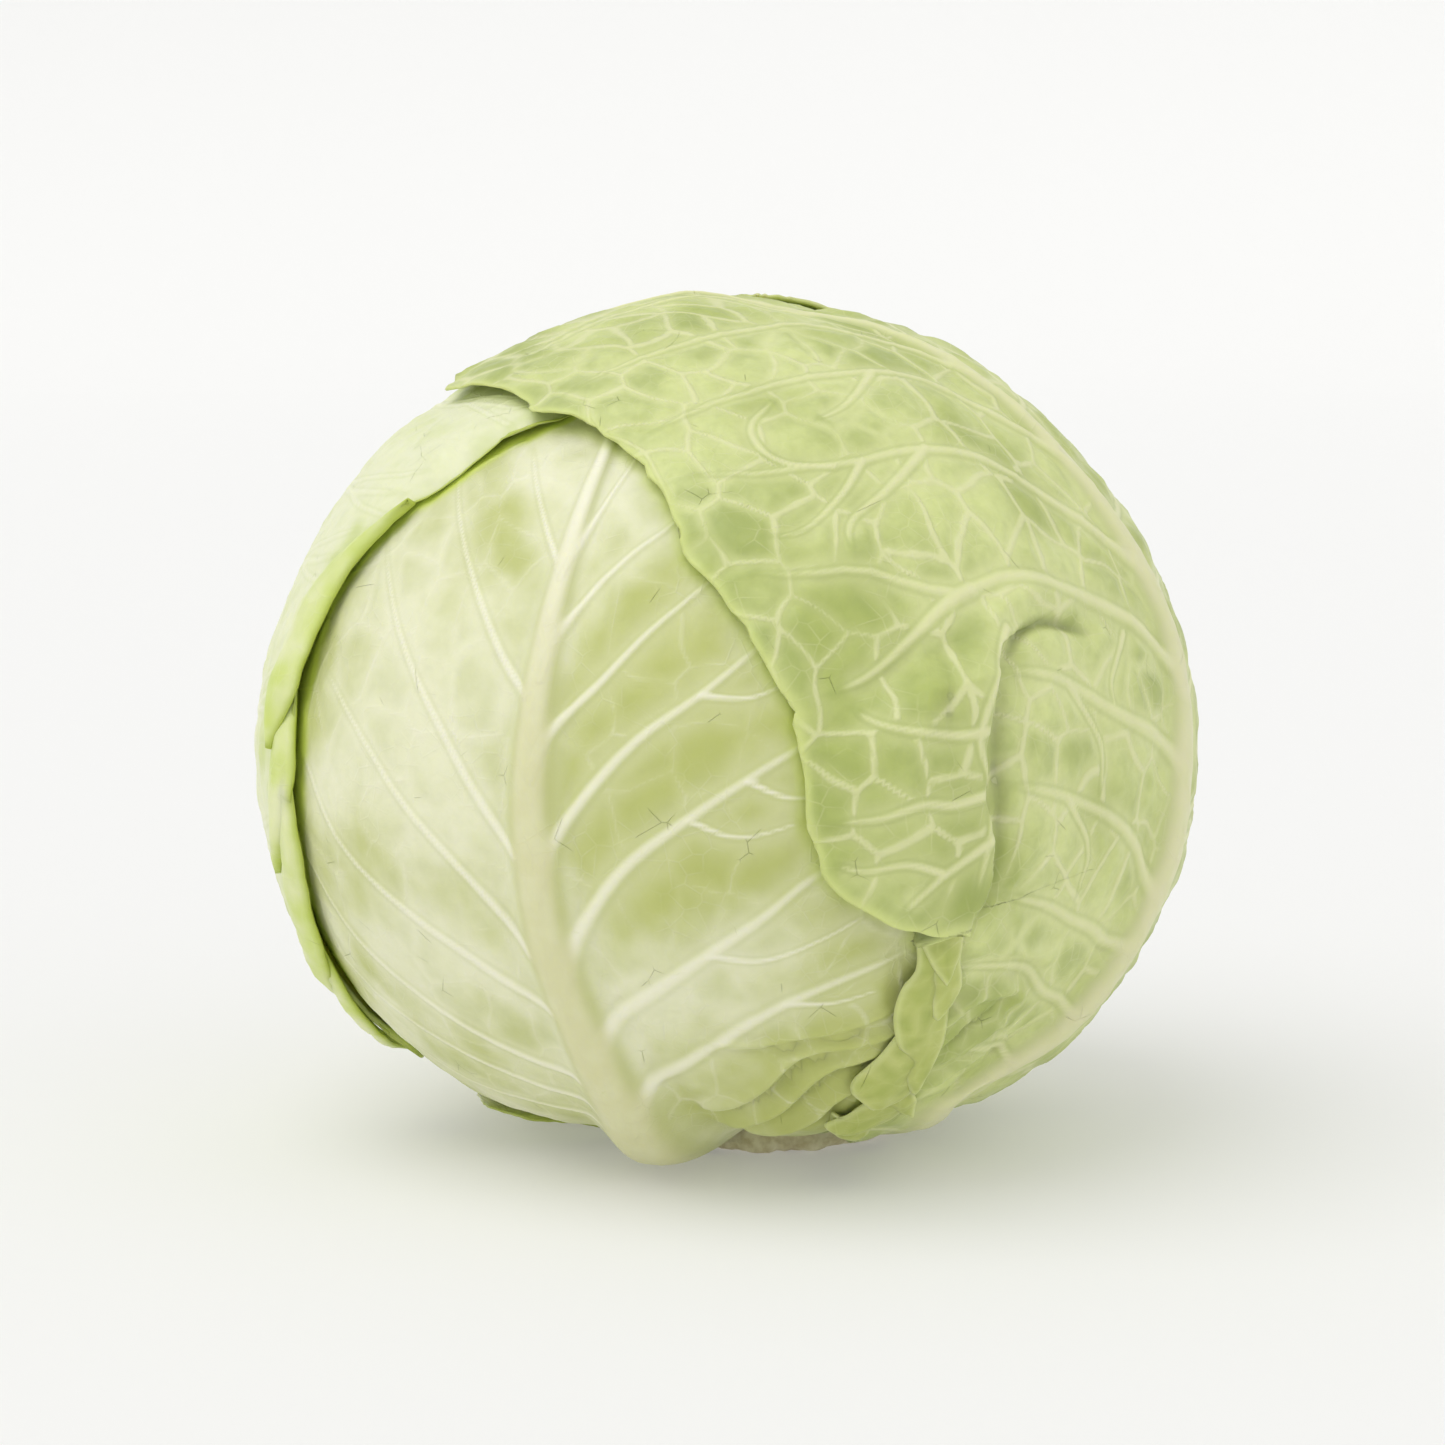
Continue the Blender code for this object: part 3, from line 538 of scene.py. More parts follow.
def veinField(x, y, veins, spacing):
    # Rounded ridges: each is a bell across its width, never narrower than the grid can carry, and
    # they join by the larger with a soft sum. Each one dies away over its last part.
    height, pale = np.zeros(x.shape), np.zeros(x.shape)
    nearest = np.full(x.shape, 9.0)
    for w0, w1, h0, h1, points in veins:
        line = smoothCurve(points, 22)
        low, high = line.min(0) - 6, line.max(0) + 6
        close = (x > low[0]) & (x < high[0]) & (y > low[1]) & (y < high[1])
        if not close.any():
            continue
        gap, t = lineDistance(x[close], y[close], line)
        gap = gap * degree * 1000
        width = np.maximum(w0 + (w1 - w0) * t, 0.75 * spacing[close])
        fade = smoothStep((1.04 - t) * 4)
        bell = np.exp(-(gap / width) ** 2)
        height[close] = (height[close] ** 3 + (bell * (h0 + (h1 - h0) * t) * fade) ** 3) ** (1 / 3)
        pale[close] = np.maximum(pale[close], bell * fade * (1 - 0.3 * t))
        nearest[close] = np.minimum(nearest[close], np.maximum(gap - width, 0) + 9 * (1 - fade))
    return height, pale, nearest


def gridFaces(rows, columns, offset=0):      # quads of a grid, counter-clockwise from outside
    i, j = np.meshgrid(np.arange(rows - 1), np.arange(columns - 1), indexing="ij")
    a = (offset + i * columns + j).ravel()
    return np.stack([a, a + columns, a + columns + 1, a + 1], -1)


def rimLoop(rows, columns, offset, step):      # the grid's boundary, counter-clockwise
    index = offset + np.arange(rows * columns).reshape(rows, columns)[::step, ::step]
    return np.concatenate([index[:-1, 0], index[-1, :-1], index[:0:-1, -1], index[0, :0:-1]])


def makeMesh(name, points, faces, attributes=None, uv=None):
    mesh = bpy.data.meshes.new(name)
    corners = np.concatenate([f.ravel() for f in faces])
    sizes = np.concatenate([np.full(len(f), f.shape[1]) for f in faces])
    mesh.vertices.add(len(points))
    mesh.vertices.foreach_set("co", np.ascontiguousarray(points, np.float32).ravel())
    mesh.loops.add(len(corners))
    mesh.loops.foreach_set("vertex_index", corners.astype(np.int32))
    mesh.polygons.add(len(sizes))
    mesh.polygons.foreach_set("loop_start", np.concatenate([[0], np.cumsum(sizes)[:-1]]).astype(np.int32))
    mesh.update(calc_edges=True)
    for key, values in (attributes or {}).items():
        layer = mesh.attributes.new(key, "FLOAT", "POINT")
        layer.data.foreach_set("value", np.ascontiguousarray(values, np.float32).ravel())
    if uv is not None:
        layer = mesh.uv_layers.new(name="sheet")
        layer.data.foreach_set("uv", np.ascontiguousarray(uv[corners], np.float32).ravel())
    mesh.shade_smooth()
    mesh.validate()
    piece = bpy.data.objects.new(name, mesh)
    bpy.context.scene.collection.objects.link(piece)
    return piece


def sheetNormals(points):      # the cross product of the grid's two directions
    across, along = np.gradient(points, axis=0), np.gradient(points, axis=1)
    normal = np.cross(across, along)
    return normal / np.maximum(np.linalg.norm(normal, axis=-1), 1e-12)[..., None]


def closeSheet(points, thickness, attributes, uv, step=4):
    # The outer grid, a grid of every step-th point set back along the normals, and a rim between.
    rows, columns = points.shape[:2]
    inner = (points - sheetNormals(points) * thickness[..., None])[::step, ::step]
    count = rows * columns
    outerRim, innerRim = rimLoop(rows, columns, 0, 1), rimLoop(*inner.shape[:2], count, 1)
    p, q = innerRim, np.roll(innerRim, -1)
    o = [np.roll(outerRim, -k)[::step] for k in range(step + 1)]
    half = step // 2
    fans = [(o[k + 1], o[k], p if k < half else q) for k in range(step)] + [(o[half], p, q)]
    fans = np.concatenate([np.stack(three, -1) for three in fans])
    return {
        "points": np.concatenate([points.reshape(-1, 3), inner.reshape(-1, 3)]),
        "faces": [gridFaces(rows, columns), gridFaces(*inner.shape[:2], count)[:, ::-1], fans],
        "attributes": {key: np.concatenate([value.ravel(), value[::step, ::step].ravel()])
                       for key, value in attributes.items()},
        "uv": np.concatenate([uv.reshape(-1, 2), uv[::step, ::step].reshape(-1, 2)]),
    }


def makePiece(name, sheets):      # one mesh from several closed sheets
    starts = np.cumsum([0] + [len(sheet["points"]) for sheet in sheets])
    faces = [part + start for sheet, start in zip(sheets, starts) for part in sheet["faces"]]
    values = {key: np.concatenate([sheet["attributes"][key] for sheet in sheets])
              for key in sheets[0]["attributes"]}
    return makeMesh(name, np.concatenate([sheet["points"] for sheet in sheets]), faces, values,
                    np.concatenate([sheet["uv"] for sheet in sheets]))


def clearStalk(points, lowest):      # out to the stump's side and up off the table
    moved = points.copy()
    moved[..., 2] = np.maximum(moved[..., 2], lowest)
    flat = np.linalg.norm(moved[..., :2], axis=-1)
    within = moved[..., 2] < coreHeight * 0.4
    wanted = np.where(within, np.maximum(flat, stumpRadius + head["footClearance"]), flat)
    moved[..., :2] *= (wanted / np.maximum(flat, 1e-9))[..., None]
    return moved


def makeLeaf(leaf, under, over):
    left, right, rows = leaf["counts"]
    seed = leaf["seed"]
    side = np.concatenate([-np.linspace(1, 0, left + 1) ** 1.1, np.linspace(0, 1, right + 1)[1:] ** 1.1])
    margin = np.where(side[:, None, None] < 0, leaf["leftLine"], leaf["rightLine"])
    middle = leaf["middleLine"][None]
    sheet = middle + (margin - middle) * np.abs(side)[:, None, None]
    along = np.broadcast_to(leaf["rowShare"], sheet.shape[:2])

    edge = outlineDistance(sheet, leaf["outline"])
    edge = np.maximum(edge, 0) * degree * 1000      # mm in from the margin
    x, y = sheet[..., 0], sheet[..., 1]
    rise, shade = np.zeros(x.shape), np.zeros(x.shape)
    if "pleat" in leaf:
        x, rise, shade = foldSheet(x, y, leaf["pleat"])

    # the free margins lift, and where they curl they also draw back
    lift = leaf["lift"]
    onSide = {"both": 1.0, "left": (side < 0) * 1.0, "right": (side > 0) * 1.0}[lift["side"]]
    onSide = onSide * np.ones(rows + 1) if np.ndim(onSide) == 0 else onSide[:, None]
    run = y / 9.0 + seed
    uneven = 0.75 + 0.45 * valueNoise(run, 0 * run, seed + 31)
    free = smoothStep((along - 0.06) * 10)
    rise = rise + lift["height"] * uneven * onSide * free * np.exp(-(edge / lift["reach"]) ** 2)
    if lift["curl"]:
        roll = lift["curl"] * (0.75 + 0.35 * valueNoise(run * 1.7, 0 * run + 4, seed + 37))
        angle = np.clip((roll * 1.9 - edge) / roll, 0, 2.2) * onSide * free
        inward = (middle - margin)
        inward = inward / np.maximum(np.linalg.norm(inward, axis=-1), 1e-9)[..., None]
        back = roll * (angle - np.sin(angle)) / (degree * 1000)
        x, y = x + inward[..., 0] * back, y + inward[..., 1] * back
        rise = rise + roll * (1 - np.cos(angle))

    # veins, the net between them, and the blade that swells between
    steps = [np.hypot(*np.gradient(sheet, axis=k).T).T for k in (0, 1)]
    spacing = np.maximum(*steps) * degree * 1000
    ribs, pale, nearest = veinField(x, y, leaf["veins"], spacing)
    fromRib = np.linalg.norm(sheet - middle, axis=-1) * degree * 1000
    table = np.array(leaf["midrib"])
    ribWidth = np.interp(along, table[:, 0], table[:, 1])
    ribHeight = np.interp(along, table[:, 0], table[:, 2])
    midrib = ribHeight * np.exp(-(fromRib / ribWidth) ** 2.6)
    grooveDepth = np.where(side[:, None] < 0, *leaf["groove"])
    groove = (-(1 - 0.8 * pale) * grooveDepth * ribHeight
              * np.exp(-((fromRib - 1.8 * ribWidth) / (0.65 * ribWidth)) ** 2))
    nearest = np.minimum(nearest, np.maximum(fromRib - ribWidth, 0))
    cell, netHeight, netPale = leaf["net"]
    wx = x + 2.4 * cloudNoise(x / 9, y / 9, seed + 50, 2)
    wy = y + 2.4 * cloudNoise(x / 9 + 40, y / 9, seed + 51, 2)
    wall, cellNumber = cellEdges(wx, wy * 0.8, cell, seed)
    wall = wall * degree * 1000
    present = 0.35 + 0.65 * smoothStep(0.75 + 0.9 * cloudNoise(x / 14, y / 14, seed + 60, 2))
    apart = smoothStep((nearest + 0.5) / 1.2)      # no line of the net runs on a vein
    net = np.exp(-(wall / np.maximum(0.75, 0.9 * spacing)) ** 2) * present * apart
    smallWall, _ = cellEdges(wx * 1.02 + 31, wy * 0.9, cell * 0.42, seed + 3)
    smallWall = smallWall * degree * 1000
    smallNet = (np.exp(-(smallWall / 0.75) ** 2)
                * smoothStep(0.25 + 1.1 * cloudNoise(x / 8, y / 8, seed + 70, 2)))
    smallNet = smallNet * apart * smoothStep((1.3 - spacing) / 0.5)
    toVein = np.minimum(nearest, wall * 1.1)
    swell = leaf["pucker"] * (1 - np.exp(-(toVein / 2.3) ** 2)) * (0.6 + 0.7 * cellNumber)
    broad = leaf["waves"] * cloudNoise(x / 13, y / 13, seed + 80, 2)
    fine = 0.20 * leaf["pucker"] * cloudNoise(x / 2.6, y / 2.6, seed + 90, 2)
    folds = np.zeros(x.shape)
    for width, height, points in leaf["folds"]:
        gap, t = lineDistance(x, y, smoothCurve(points, 20))
        folds += height * np.exp(-(gap * degree * 1000 / width) ** 2) * (1 - 0.5 * np.abs(2 * t - 1) ** 3)
    relief = (((0.65 * ribs) ** 3 + midrib ** 3) ** (1 / 3) + groove + netHeight * net
              + 0.3 * netHeight * smallNet + swell + broad + fine + folds)

    directions = toDirections(leaf["axes"], np.stack([x, y], -1))
    shown, glow = np.ones(x.shape), np.zeros(x.shape)
    for other in over:      # a leaf on top presses this one flat, and beside its margin this one gets painted shade and painted light shining through that leaf
        _, gap = coverOf(other, directions)
        shown *= 1 - smoothStep((gap + 0.5) / 4)
        glow = np.maximum(glow, other["cast"] * np.exp(-(np.minimum(gap, 0) / 1.1) ** 2))
    stack = sum(coverOf(other, directions)[0] for other in under) if under else 0.0
    thickness = leaf["thickness"] * (0.55 + 0.45 * smoothStep(edge / 3))
    radius = bedRadius(directions) + head["leafStep"] * stack + leaf["thickness"]
    radius = radius + (relief * shown + rise) * 0.001
    points = clearStalk(centre + directions * radius[..., None], 0.0004)

    greener = 0.45 + leaf["greenShift"] + 0.55 * cloudNoise(x / 11, y / 11, seed + 100, 3)
    for tx, ty, reach, amount in leaf["tints"]:
        greener = greener + amount * np.exp(-((x - tx) ** 2 + (y - ty) ** 2) / reach**2)
    attributes = {
        "vein": pale,
        "net": np.clip(netPale * net + 0.3 * netPale * smallNet, 0, 1),
        "rib": np.exp(-(fromRib / (1.02 * ribWidth)) ** 4),
        "rim": np.exp(-(edge / 1.3) ** 2) * (np.abs(side)[:, None] > 0.5) * free,
        "green": np.clip(greener, 0, 1),
        "along": along * 1.0,
        "hollow": np.clip(1 - toVein / 2.6, 0, 1),
        "halo": np.exp(-(nearest / 3.6) ** 2),
        "glow": glow,
        "shade": np.clip(shade + 0.5 * np.maximum(-folds - 0.6, 0), 0, 1),
        # the midrib's flanks: greener where the blade meets it, with painted shade, stronger on its right
        # side
        "flankGreenAndShade": np.exp(-((fromRib / ribWidth - 0.92) / 0.3) ** 2)
                 * np.where(side[:, None] > 0, 1.0, 0.55) * (1 - pale),
    }
    piece = makePiece(leaf["name"], [closeSheet(points, thickness, attributes, np.stack([x, y], -1) / 100)])
    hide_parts(leaf["node"])
    return piece


# Torn and rolled bits of leaf margin. A lobe is ruled between a left and a right edge, drawn from its
# upper end to its lower one on the leaf's plane; rise is how far its ends stand off in mm, dome how
# far it swells across.
frill = {
    "name": "frill", "leaf": coverLeaf, "seed": 61, "slot": "cover_leaf", "thickness": 0.0006,
    "tuck": (1.3, 0.3),
    "step": (1, 1, 0.8),      # how much of each leaf under it lifts it
    "lobes": [
        {"rise": (-2.0, -1.0), "dome": 0.5, "left": [(-35.8, -62), (-34.4, -64.2), (-33, -66.2),
                                                     (-30.5, -67.8)],
         "right": [(-29.4, -61.5), (-28.4, -63.5), (-27.2, -65.4), (-26.8, -67.2)]},
        {"rise": (-1.9, -0.5), "dome": 0.7, "left": [(-32, -53.5), (-33.4, -57.2), (-34.2, -61),
                                                     (-36, -63.4), (-34.5, -64.8)],
         "right": [(-26.5, -55), (-26.5, -59.7), (-27.5, -62.5), (-29.3, -64.4), (-32.8, -65)]},
        {"rise": (-1.6, -0.2), "dome": 0.5, "left": [(-33.6, -52), (-33.8, -56), (-30, -58.4),
                                                     (-25.6, -59.9)],
         "right": [(-29.5, -51), (-28.3, -54.5), (-26.3, -56.8), (-24.6, -59.8)]},
        {"rise": (-1.3, 0.2), "dome": 1.0, "left": [(-36, -42), (-37.3, -48), (-38.7, -52.4),
                                                    (-37.4, -55), (-35, -56.4)],
         "right": [(-31, -44), (-30.4, -50), (-29.2, -53.6), (-30, -56), (-33, -57)]},
        {"rise": (-1.0, 0.6), "dome": 1.0, "left": [(-39.6, -26), (-38, -33), (-38.9, -35.7),
                                                    (-38.8, -39.5), (-37.2, -43.6),
         (-35, -46.6), (-33.9, -48), (-33, -50.6), (-30, -53.6)],
         "right": [(-33.8, -26.5), (-32.8, -36.4), (-31.7, -40.3), (-30.5, -44.4), (-30, -47.8),
                   (-29.6, -51), (-29, -53.8)]},
        {"rise": (-0.5, 1.1), "dome": 0.8, "left": [(-38, -26), (-36.5, -32.5), (-36, -36), (-34.4, -39.7)],
         "right": [(-33.6, -26), (-33.2, -31.5), (-32, -36.2), (-33.6, -40)]},
        {"rise": (0.0, 1.6), "dome": 0.9, "left": [(-40.2, -25.5), (-39, -28.5), (-37, -32), (-35, -34.5)],
         "right": [(-33.8, -25.5), (-33.6, -29.5), (-33.9, -32.5), (-34.4, -34.8)]},
    ],
}
marginRolls = {
    "name": "marginRolls", "leaf": leftLeaf, "seed": 67, "slot": "left_leaf", "thickness": 0.0006,
    "tuck": (0.9, 1.1),
    "step": (1, 1),
    "lobes": [
        {"rise": (-2.2, -0.6), "dome": 1.1, "left": [(43, 10.5), (41.5, 4), (42, -3), (41.5, -9),
                                                     (41, -14), (38.5, -18.5)],
         "right": [(44.4, 10.8), (47.4, 4), (48.8, -2), (47.8, -8), (45, -13.5), (39.6, -18.6)]},
        {"rise": (-2.2, -0.6), "dome": 1.1, "left": [(46.8, -3.5), (41.4, -16), (36.5, -25), (31, -31),
                                                     (27, -35)],
         "right": [(47.8, -3.6), (47.8, -14), (44.6, -23.5), (40.4, -30.5), (32, -38)]},
        {"rise": (-2.4, -0.6), "dome": 0.9, "left": [(39.4, -24), (33, -32.8), (27, -39), (21.5, -44),
                                                     (15, -49)],
         "right": [(40.4, -24.4), (37.6, -33.8), (31.6, -40.8), (25, -46.4), (16, -50)]},
        {"rise": (-2.0, 0.2), "dome": 1.2, "left": [(48.7, 36), (44.4, 27), (41, 20), (40, 12),
                                                    (40.6, 5), (43.4, -1.4)],
         "right": [(49.3, 36.3), (48.3, 28), (47.8, 21), (48.2, 13), (47.8, 6), (44.3, -1.7)]},
    ],
}


def makeScraps(scraps, under):
    sheets, seed = [], scraps["seed"]
    for number, lobe in enumerate(scraps["lobes"]):
        left, right = (smoothCurve(lobe[side][::-1], 32) for side in ("left", "right"))
        across = np.linspace(0, 1, 17)[:, None]
        along = np.broadcast_to(np.linspace(1, 0, 33), (17, 33))
        sheet = left + (right - left) * across[..., None]
        outline = np.vstack([left, right[::-1]])
        edge = np.maximum(outlineDistance(sheet, outline), 0) * degree * 1000
        x, y = sheet[..., 0], sheet[..., 1]
        low, high = lobe["rise"]
        rise = (low + (high - low) * along
                + lobe["dome"] * np.sin(np.pi * across) ** 0.7 * smoothStep((1.04 - along) * 5))
        rise = rise + 0.45 * cloudNoise(x / 2.4 + 9 * number, y / 3.4, seed, 2)
        leftTuck, rightTuck = scraps["tuck"]      # the edges lie down on the head
        rise = rise - leftTuck * (1 - across) ** 3 - rightTuck * across**3
        directions = toDirections(scraps["leaf"]["axes"], sheet)
        stack = sum(share * coverOf(other, directions)[0] for other, share in zip(under, scraps["step"]))
        radius = bedRadius(directions) + head["leafStep"] * stack + scraps["thickness"] + rise * 0.001
        points = clearStalk(centre + directions * radius[..., None], 0.0009)
        wall, _ = cellEdges(x + 5 * number, y, 3.2, seed)
        flat = np.zeros(x.shape)
        attributes = {
            "vein": 0.5 * np.exp(-((across - 0.5) * 7) ** 2) * (1 - along),
            "net": 0.5 * np.exp(-(wall / 0.5) ** 2),
            "rib": flat, "rim": np.exp(-(edge / 0.7) ** 2), "along": along * 1.0,
            # painted shade and painted light shining through at the lobe's upper end, where it tucks under
            "glow": 0.35 * smoothStep((0.25 - along) * 3),
            "green": np.clip(0.5 + 0.5 * cloudNoise(x / 4, y / 4, seed + 9, 2), 0, 1),
            "hollow": np.clip(1 - wall / 1.6, 0, 1), "shade": flat, "flankGreenAndShade": flat, "halo": flat,
        }
        sheets.append(closeSheet(points, np.full(x.shape, scraps["thickness"]), attributes, sheet / 100, 2))
    return makePiece(scraps["name"], sheets)


stump = {
    "profile": [(0.93, 0.0), (0.985, 0.0005), (1.0, 0.0018), (0.985, 0.006), (0.97, 0.014),
                (0.98, 0.026), (0.9, 0.034),
                (0.62, 0.052), (0.40, 0.070), (0.30, 0.084)],      # share of the radius, height in metres
    "sides": 192, "scars": 0.030, "rings": 0.00025,
}


def makeStump():
    # Turned about the upright axis through the foot: rings of the cut face, then the profile up the
    # side, whose radius gives a little where old leaves came off and where the knife slipped.
    turn = np.linspace(0, 2 * math.pi, stump["sides"], endpoint=False)
    cut = np.linspace(0.02, 0.9, 24)
    share, height = np.array(stump["profile"]).T
    steps = np.linspace(0, len(share) - 1, 60)
    share = np.concatenate([cut, np.interp(steps, np.arange(len(share)), share)])
    flat = np.concatenate([stump["rings"] * (1 + np.sin(cut * 40)), np.zeros(len(steps))])
    height = np.concatenate([0 * cut, np.interp(steps, np.arange(len(height)), height)])
    share, height = share[:, None] * np.ones(len(turn)), height[:, None] + flat[:, None] + 0 * turn
    around, up = stumpRadius * 1000 * np.cos(turn), stumpRadius * 1000 * np.sin(turn)
    dents = (cloudNoise(around / 5 + height * 90, up / 5, 71, 3)
             + 0.7 * valueNoise(around / 1.6, up / 1.6 + height * 200, 73))
    outer = smoothStep((share - 0.8) / 0.2)
    share = share * (1 - stump["scars"] * outer * (0.9 + dents))
    height = height + 0.0011 * outer * smoothStep((0.004 - height) / 0.004) * (0.6 + 0.6 * dents)
    height = np.maximum(height, 0)
    points = np.stack([stumpRadius * share * np.cos(turn), stumpRadius * share * np.sin(turn), height], -1)
    rings, sides = points.shape[:2]
    ring, place = np.meshgrid(np.arange(rings - 1), np.arange(sides), indexing="ij")
    a, b = (ring * sides + place).ravel(), (ring * sides + (place + 1) % sides).ravel()
    walls = np.stack([a, b, b + sides, a + sides], -1)
    around = np.arange(sides)
    onward, last = (around + 1) % sides, (rings - 1) * sides
    under = np.stack([onward, around, np.full(sides, rings * sides)], -1)
    top = np.stack([last + around, last + onward, np.full(sides, rings * sides + 1)], -1)
    ends = np.array([[0, 0, points[0, :, 2].mean()], [0, 0, points[-1, :, 2].mean() + 0.0006]])
    piece = makeMesh("stump", np.vstack([points.reshape(-1, 3), ends]), [walls, under, top])
    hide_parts("stalk")
    return piece


def newMaterial(name, roughness, specular):
    material = bpy.data.materials.new(name)
    material.use_nodes = True
    nodes, links = material.node_tree.nodes, material.node_tree.links
    shader = nodes["Principled BSDF"]
    shader.inputs["Roughness"].default_value = roughness
    shader.inputs["Specular IOR Level"].default_value = specular
    return material, nodes, links, shader


def mixColour(nodes, links, factor, a, b, blend="MIX"):
    mix = nodes.new("ShaderNodeMix")
    mix.data_type, mix.blend_type = "RGBA", blend
    for socket, value in ((mix.inputs[0], factor), (mix.inputs[6], a), (mix.inputs[7], b)):
        if isinstance(value, bpy.types.NodeSocket):
            links.new(value, socket)
        elif isinstance(value, tuple):
            socket.default_value = (*value, 1.0)
        else:
            socket.default_value = value
    return mix.outputs[2]


def readAttribute(nodes, name):
    node = nodes.new("ShaderNodeAttribute")
    node.attribute_name = name
    return node.outputs["Fac"]


def mathNode(nodes, links, operation, *values):
    node = nodes.new("ShaderNodeMath")
    node.operation = operation
    for socket, value in zip(node.inputs, values):
        if isinstance(value, bpy.types.NodeSocket):
            links.new(value, socket)
        else:
            socket.default_value = value
    return node.outputs[0]


def ramp(nodes, links, value, low, high, outLow=0.0, outHigh=1.0):
    node = nodes.new("ShaderNodeMapRange")
    node.interpolation_type = "SMOOTHSTEP"
    links.new(value, node.inputs["Value"])
    for socket, number in zip(node.inputs[1:5], (low, high, outLow, outHigh)):
        socket.default_value = number
    return node.outputs["Result"]


def noiseNode(nodes, links, coordinates, scale, detail=3.0, roughness=0.5):
    node = nodes.new("ShaderNodeTexNoise")
    node.inputs["Scale"].default_value = scale
    node.inputs["Detail"].default_value = detail
    node.inputs["Roughness"].default_value = roughness
    links.new(coordinates, node.inputs["Vector"])
    return node.outputs["Fac"]


def cracks(nodes, links, coordinates, scale):      # distance to the walls of a fine cell net
    node = nodes.new("ShaderNodeTexVoronoi")
    node.feature, node.voronoi_dimensions = "DISTANCE_TO_EDGE", "2D"
    node.inputs["Scale"].default_value = scale
    links.new(coordinates, node.inputs["Vector"])
    return node.outputs["Distance"]


def leafMaterial(name, pale, green, deep, vein, rib, rim, glow, cells=1.0):
    material, nodes, links, shader = newMaterial(name, 0.42, 0.42)
    where = nodes.new("ShaderNodeTexCoord")
    body, sheet = where.outputs["Object"], where.outputs["UV"]
    times = lambda a, b: mathNode(nodes, links, "MULTIPLY", a, b)
    hollow = readAttribute(nodes, "hollow")
    broken = mathNode(nodes, links, "MULTIPLY_ADD", noiseNode(nodes, links, body, 55.0, 5.0), 0.9, -0.45)
    broken = mathNode(nodes, links, "ADD", broken, readAttribute(nodes, "green"))
    greenShare = ramp(nodes, links, broken, 0.1, 0.9)
    colour = mixColour(nodes, links, greenShare, pale, green)
    # darker clouds in the middles of the cells, a paler blade beside the veins
    patch = ramp(nodes, links, noiseNode(nodes, links, body, 75.0, 4.0), 0.38, 0.68)
    patch = times(patch, ramp(nodes, links, hollow, 0.0, 1.0, 0.55 * cells, 0.05))
    colour = mixColour(nodes, links, patch, colour, deep)
    mottle = ramp(nodes, links, noiseNode(nodes, links, body, 420.0, 3.0), 0.35, 0.75)
    colour = mixColour(nodes, links, times(mottle, 0.16 * cells), colour, deep)
    colour = mixColour(nodes, links, times(hollow, 0.20 * cells), colour, vein)
    colour = mixColour(nodes, links, times(readAttribute(nodes, "halo"), 0.22), colour,
                       tuple(0.5 * (a + b) for a, b in zip(pale, vein)))
    # the finest veins: pale threads, and a few dark lines of painted shade where the skin has creased
    thread = ramp(nodes, links, cracks(nodes, links, sheet, 40.0), 0.0, 0.07, 1.0, 0.0)
    thread = times(thread, ramp(nodes, links, noiseNode(nodes, links, sheet, 9.0, 2.0), 0.46, 0.62))
    colour = mixColour(nodes, links, times(thread, 0.22 * cells), colour, vein)
    creaseShade = ramp(nodes, links, cracks(nodes, links, sheet, 19.0), 0.0, 0.014, 1.0, 0.0)
    creaseShade = times(creaseShade, ramp(nodes, links, noiseNode(nodes, links, sheet, 13.0, 2.0), 0.61, 0.67))
    colour = mixColour(nodes, links, times(creaseShade, 0.32), colour, tuple(0.55 * c for c in deep))
    net = ramp(nodes, links, readAttribute(nodes, "net"), 0.34, 0.80)
    colour = mixColour(nodes, links, times(net, 0.30 + 0.30 * cells), colour, vein)
    # a vein is pale along its top, and at its foot darker green with painted shade
    veinLine = readAttribute(nodes, "vein")
    veinFootShade = times(ramp(nodes, links, veinLine, 0.02, 0.3),
                   ramp(nodes, links, veinLine, 0.3, 0.7, 1.0, 0.0))
    colour = mixColour(nodes, links, times(veinFootShade, 0.08 + 0.12 * cells), colour, deep)
    line = ramp(nodes, links, veinLine, 0.4, 1.0)
    colour = mixColour(nodes, links, times(line, 0.85), colour, vein)
    ribShade = ramp(nodes, links, readAttribute(nodes, "along"), 0.48, 0.80)
    ribColour = mixColour(nodes, links, ribShade, rib, vein)
    streak = noiseNode(nodes, links, body, 160.0, 2.0)
    ribColour = mixColour(nodes, links, times(ramp(nodes, links, streak, 0.4, 0.7), 0.25), ribColour, pale)
    # the midrib's heel by the table: greener, and darker with painted shade
    heelGreenAndShade = ramp(nodes, links, readAttribute(nodes, "along"), 0.0, 0.15, 0.5, 0.0)
    ribColour = mixColour(nodes, links, heelGreenAndShade, ribColour, green)
    ribShare = ramp(nodes, links, readAttribute(nodes, "rib"), 0.05, 0.8)
    colour = mixColour(nodes, links, ribShare, colour, ribColour)
    # greener blade and painted shade on the midrib's flanks, stronger on the right
    flankGreenAndShade = times(readAttribute(nodes, "flankGreenAndShade"), 0.55)
    colour = mixColour(nodes, links, flankGreenAndShade, colour, tuple(0.5 * (a + b) for a, b in zip(green, deep)))
    # painted shade and painted light shining through a leaf on top, beside its margin
    colour = mixColour(nodes, links, readAttribute(nodes, "glow"), colour, glow)
    # painted shade in the pleat's crease and in the valleys of the folds
    colour = mixColour(nodes, links, times(readAttribute(nodes, "shade"), 0.8), colour,
                       tuple(0.6 * c for c in deep))
    colour = mixColour(nodes, links, times(readAttribute(nodes, "rim"), 0.9), colour, rim)
    links.new(colour, shader.inputs["Base Color"])
    shader.inputs["Subsurface Weight"].default_value = 0.22
    shader.inputs["Subsurface Radius"].default_value = (0.9, 1.0, 0.30)
    shader.inputs["Subsurface Scale"].default_value = 0.0018
    rough = ramp(nodes, links, noiseNode(nodes, links, body, 220.0, 3.0), 0.3, 0.7, 0.38, 0.52)
    links.new(rough, shader.inputs["Roughness"])
